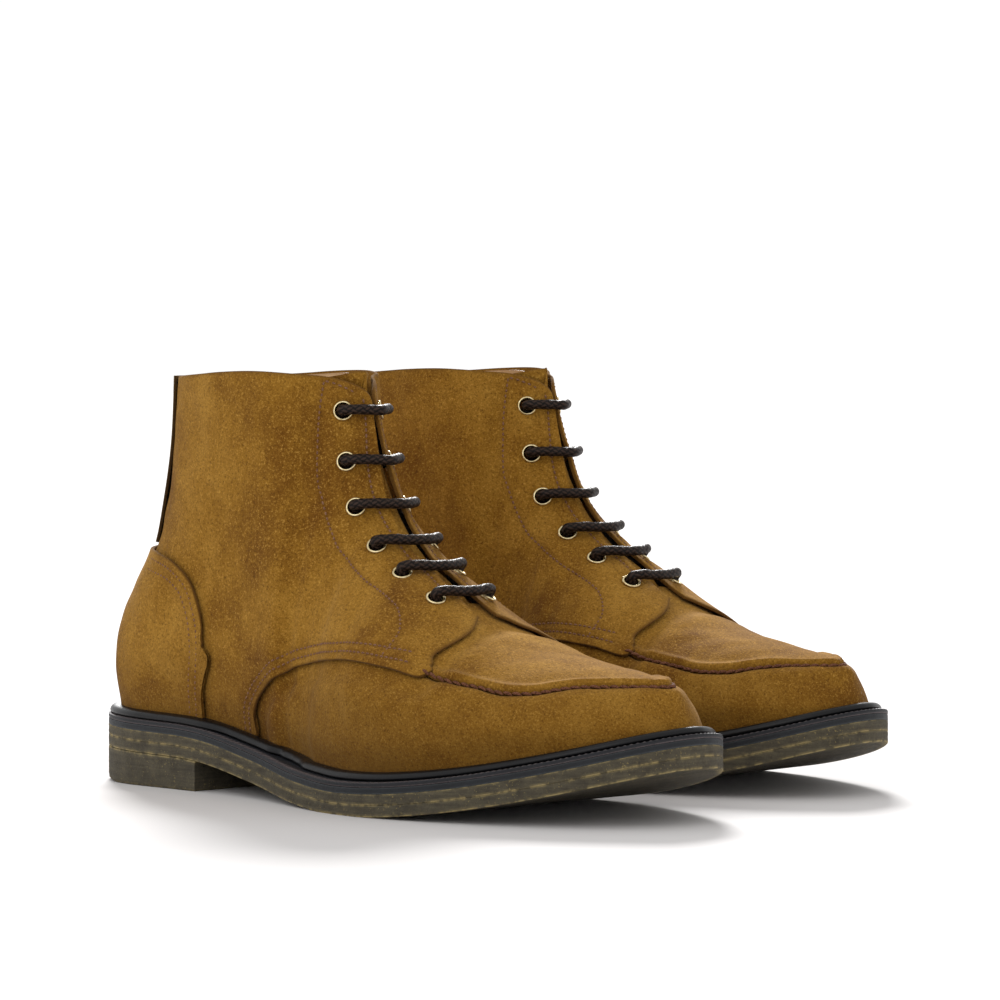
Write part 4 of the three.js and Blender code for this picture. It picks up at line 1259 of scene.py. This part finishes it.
def braid(side):
    route, run = smoothRoute(lacePath(), laceSet["step"])
    count, around = len(route), laceSet["around"]
    ahead = np.gradient(route, axis=0)
    ahead /= np.linalg.norm(ahead, axis=1, keepdims=True)
    normal = np.zeros_like(route)
    normal[0] = np.cross(ahead[0], (0.3, 0.5, 0.8))
    for i in range(1, count):
        normal[i] = normal[i - 1] - ahead[i] * (normal[i - 1] @ ahead[i])
        normal[i] /= np.linalg.norm(normal[i])
    normal[0] = normal[1]
    other = np.cross(ahead, normal)
    theta = np.linspace(0, 2 * math.pi, around, endpoint=False)
    a = (laceSet["strands"] * theta[None, :] + laceSet["twist"] * run[:, None] * 2) / math.pi
    b = (laceSet["strands"] * theta[None, :] - laceSet["twist"] * run[:, None] * 2) / math.pi
    over = (np.floor(a) + np.floor(b)) % 2 == 0
    strand = np.where(over, np.abs(np.sin(a * math.pi)), np.abs(np.sin(b * math.pi))) ** 0.7
    closing = np.minimum(1, np.minimum(run, run[-1] - run)[:, None] / 1.2) ** 0.5
    radius = (laceSet["radius"] - laceSet["relief"] + laceSet["relief"] * strand
              + 0.05 * np.sin(run * 0.9)[:, None]) * np.maximum(closing, 0.02)
    points = (route[:, None, :] + radius[..., None]
              * (np.cos(theta)[None, :, None] * normal[:, None, :]
                 + np.sin(theta)[None, :, None] * other[:, None, :]))
    faces = ringFaces(count, around)
    faces += [tuple(range(around)), tuple((count - 1) * around + k for k in range(around))]
    makePiece(f"{side}_lace_braid", points.reshape(-1, 3), faces, side, waxed,
              [f"{side}_lace"], sharp=80, mapped={"strand": strand})


for side in sides:
    braid(side)
print("stage: laces are threaded")


soleSet = {"margin": 6, "welt": 1.9, "midsole": 2.1, "through": 3.8, "outsole": 4.2, "bond": 0.2,
           "inset": 7.6, "breast": 76, "bevelLength": 24, "bevelRise": 2.5, "points": 760}


def outline(half, grow, count):
    # plan outline, round from the back, grown outwards and evenly spaced
    fine = 2400
    turn = 2 * math.pi * np.arange(fine) / fine
    # from the first to the last place where the foot has any width
    span = np.linspace(lastSet["rear"], lastSet["front"], 4000)
    rear, front = span[half(span) > 0][[0, -1]]
    u = (rear + front) / 2 - (front - rear) / 2 * np.cos(turn)
    v = swing(u) + np.sign(np.sin(turn)) * half(u)
    v[0], v[fine // 2] = swing(rear), swing(front)
    d = np.stack([np.roll(u, -1) - np.roll(u, 1), np.roll(v, -1) - np.roll(v, 1)], axis=-1)
    d /= np.linalg.norm(d, axis=1, keepdims=True)
    out = grow(u) if callable(grow) else grow
    p = np.stack([u - d[:, 1] * out, v + d[:, 0] * out], axis=-1)
    loop = np.vstack([p, p[:1]])
    run = np.concatenate([[0], np.cumsum(np.linalg.norm(np.diff(loop, axis=0), axis=1))])
    halfway = run[fine // 2]
    want = np.concatenate([np.linspace(0, halfway, count // 2, endpoint=False),
                           np.linspace(halfway, run[-1], count // 2, endpoint=False)])
    q = np.stack([np.interp(want, run, loop[:, k]) for k in range(2)], axis=-1)
    e = np.roll(q, -1, axis=0) - np.roll(q, 1, axis=0)
    e /= np.linalg.norm(e, axis=1, keepdims=True)
    return q, np.stack([-e[:, 1], e[:, 0]], axis=-1), want


def soleHalf(u):
    rear = quarterCircle((u - lastSet["rear"]) / 34)
    toe = quarterCircle((lastSet["front"] - u) / lastSet["toeRound"])
    return breadth(u) * np.sqrt(np.maximum(rear * toe, 0))


def footHalf(rise):
    return lambda u: np.sqrt(np.maximum(breadthSquared(u, seat(u) + rise), 0))


def treadHeight(u):
    base = sum(soleSet[k] for k in ("welt", "midsole", "through", "outsole")) + 3 * soleSet["bond"]
    return np.maximum(0, seat(u) - base)


def plate(name, side, top, bottom, mat, replaced, profile, rough=0.0, seed=1, flat=None):
    # a flat layer with a shaped edge; the profile is (inset, share of the way down, edge mark), and the edge
    # mark paints highlights along the bevels
    q, n, _ = outline(soleHalf, soleSet["margin"], soleSet["points"])
    rings, marks = [], []
    for inset, share, mark in profile:
        p = q - n * inset
        z = top(p[:, 0]) * (1 - share) + bottom(p[:, 0]) * share
        ring = np.stack([p[:, 0], p[:, 1], z], axis=-1)
        if rough and 0 < share < 1:
            jog = rough * softNoise(ring * np.array([1, 1, 3.0]), 2.6, seed, 9)
            ring[:, :2] += n * np.minimum(jog, 0.1)[:, None]
        rings.append(ring)
        marks.append(np.full(len(q), mark))
    if flat is not None:
        flat(rings)
    faces = ringFaces(len(rings), len(q), capped=True)
    makePiece(name, np.concatenate(rings), faces, side, mat, replaced,
              edge=np.concatenate(marks), sharp=50)


# the third number of each step is the painted highlight along the top and bottom bevels
slabEdge = [(14, 0, 0), (3, 0, 0), (0.25, 0, 0.2), (0.06, 0.04, 0.5), (0, 0.12, 0.1), (0, 0.3, 0),
            (0, 0.5, 0), (0, 0.7, 0), (0, 0.88, 0.25), (0.05, 0.97, 1.0), (0.2, 1, 0.6), (3, 1, 0),
            (14, 1, 0)]


def layers(side):
    first = soleSet["welt"] + soleSet["bond"]
    second = first + soleSet["midsole"] + soleSet["bond"]
    third = second + soleSet["through"] + soleSet["bond"]
    meet = soleSet["bond"] / 2  # neighbours close the glue line between them
    plate(f"{side}_midsole_edge", side, lambda u: seat(u) - first + meet,
          lambda u: seat(u) - second + meet, midRubber,
          [f"{side}_midsole"], slabEdge, 0.03, 2)
    plate(f"{side}_through_sole_crepe", side, lambda u: seat(u) - second + meet,
          lambda u: seat(u) - third + meet, crepe,
          [f"{side}_through_sole"], slabEdge, 0.09, 3)
    plate(f"{side}_outsole_crepe", side, lambda u: seat(u) - third + meet, treadHeight, crepe,
          [f"{side}_outsole"], slabEdge, 0.09, 4)


def heelBlock(side):
    q, n, run = outline(soleHalf, soleSet["margin"], soleSet["points"])
    count = len(q)
    rear = [i for i in range(count // 2) if q[i, 0] < soleSet["breast"]]
    order = rear[::-1] + [(count - i) % count for i in rear[1:]]
    p, pn = q[order], n[order]
    bevel = soleSet["bevelRise"] / soleSet["bevelLength"]
    rings, marks = [], []
    # the third number paints highlights along the top and bottom bevels
    shares = [(0.4, 0, 0.4), (0.12, 0.02, 0.7), (0, 0.06, 0.1)] + [
        (0, k, 0) for k in np.linspace(0.14, 0.9, 9)] + [(0.1, 0.97, 0.2), (0.5, 1, 0.1)]
    for inset, share, mark in shares:
        e = p - pn * inset
        # the breast is the straight front wall
        breast = np.linspace(e[-1], e[0], 42)[1:-1]
        breast[:, 0] -= 0.3 + inset
        loop = np.vstack([e, breast])
        top = treadHeight(loop[:, 0]) - soleSet["bond"]
        low = bevel * np.maximum(0, soleSet["bevelLength"] - loop[:, 0])
        ring = np.stack([loop[:, 0], loop[:, 1], top * (1 - share) + low * share], axis=-1)
        if 0 < share < 1:
            jog = 0.1 * softNoise(ring * np.array([1, 1, 2.5]), 2.8, 6, 9)
            out = np.vstack([pn, np.repeat([[1.0, 0.0]], len(breast), axis=0)])
            ring[:, :2] += out * np.minimum(jog, 0.1)[:, None]
        rings.append(ring)
        marks.append(np.full(len(loop), mark))
    size = len(rings[0])
    faces = ringFaces(len(rings), size)
    for k in (0, len(rings) - 1):
        faces.append(tuple(k * size + i for i in range(size)))
    makePiece(f"{side}_heel_block_crepe", np.concatenate(rings), faces, side, crepe,
              [f"{side}_heel_block"], edge=np.concatenate(marks), sharp=50)


weltSet = {"notch": 2.3, "depth": 0.42}


def welt(side):
    q, n, run = outline(soleHalf, soleSet["margin"], 2040)
    inner, _, _ = outline(footHalf(0.5), -soleSet["inset"] + 0.5, 2040)
    tooth = 0.5 - 0.5 * np.cos(2 * math.pi * run / weltSet["notch"])
    rings, marks = [], []
    # (inset from the edge, share of the way down, how much of the wheeling it takes, mark); the mark colours
    # the dots of the wheeling on the top, lighter where each notch is raised, and paints highlights along
    # the lower bevel
    profile = [(5.2, 0, 0, 0), (2.4, 0, 0.15, 0), (1.9, 0, 0.8, 0.5), (1.1, 0, 1, 1),
               (0.5, 0.02, 0.7, 0.8), (0.1, 0.12, 0.25, 0.3), (0, 0.35, 0, 0), (0, 0.75, 0, 0.1),
               (0.15, 0.95, 0, 0.9), (0.5, 1, 0, 0.3), (5.2, 1, 0, 0)]
    for inset, share, wheel, mark in profile:
        p = q - n * inset
        z = seat(p[:, 0]) - soleSet["welt"] * share - weltSet["depth"] * wheel * tooth
        rings.append(np.stack([p[:, 0], p[:, 1], z], axis=-1))
        marks.append(mark * (0.25 + 0.75 * (1 - tooth)) if wheel else np.full(len(q), mark))
    for share in (1, 0):
        z = seat(inner[:, 0]) - soleSet["welt"] * share
        rings.append(np.stack([inner[:, 0], inner[:, 1], z], axis=-1))
        marks.append(np.zeros(len(q)))
    makePiece(f"{side}_welt_wheeled", np.concatenate(rings),
              ringFaces(len(rings), len(q), closed=True), side, weltRubber,
              [f"{side}_welt"], edge=np.concatenate(marks), sharp=60)


def rand(side):
    def clear(u):
        return 1.5 + 2.0 * (1 - ease(74, 92, u))

    def widest(u):
        return np.maximum(footHalf(0.25)(u), footHalf(2.9)(u))
    q, n, _ = outline(widest, clear, soleSet["points"])
    shape = [(0, 0.2), (1.4, 0.05), (2.5, 0.15), (2.95, 0.6), (3.0, 1.15), (2.8, 1.75),
             (2.35, 2.35), (1.75, 2.85), (1.1, 3.15), (0.3, 3.25), (-0.15, 3.1), (-0.15, 2.5)]
    # painted highlight: the top of the bead is painted a little lighter
    marks = [0, 0, 0, 0, 0, 0, 0, 0, 0, 0.15, 0, 0]
    rings = []
    for k, (out, rise) in enumerate(shape):
        # the inner lip closes up to the leather
        lip = (clear(q[:, 0]) - 0.25) * (1 if k in (0, 9, 10, 11) else 0.5 if k == 8 else 0)
        p = q + n * (out - lip)[:, None]
        rings.append(np.stack([p[:, 0], p[:, 1], seat(p[:, 0]) + rise], axis=-1))
    edge = np.concatenate([np.full(len(q), k) for k in marks])
    makePiece(f"{side}_storm_rand_bead", np.concatenate(rings),
              ringFaces(len(rings), len(q), closed=True), side, randRubber,
              [f"{side}_storm_rand"], edge=edge, sharp=60)


def footbedSheet(side):
    q, n, _ = outline(footHalf(0.5), -soleSet["inset"] - 0.2, 400)
    rings, marks = [], []
    for inset, rise, mark in ((9, 4.35, 0), (3, 4.5, 0), (1, 4.45, 0.1), (0.3, 4.3, 0.4), (0, 4.0, 0.8),
                              (0, 2.6, 0.2), (0.4, 2.4, 0)):
        p = q - n * inset
        ring = np.stack([p[:, 0], p[:, 1], seat(p[:, 0]) + rise], axis=-1)
        rings.append(ring)
        marks.append(np.full(len(q), mark))
    makePiece(f"{side}_footbed_calf", np.concatenate(rings),
              ringFaces(len(rings), len(q), capped=True), side, bed,
              [f"{side}_footbed"], edge=np.concatenate(marks), sharp=60)


for side in sides:
    layers(side)
    heelBlock(side)
    welt(side)
    rand(side)
    footbedSheet(side)
    for node in ("insole_board", "heel_stiffener"):
        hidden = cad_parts[f"{side}_{node}"]
        hidden.data.materials.clear()
        hidden.data.materials.append(board)
print("stage: soles are built")
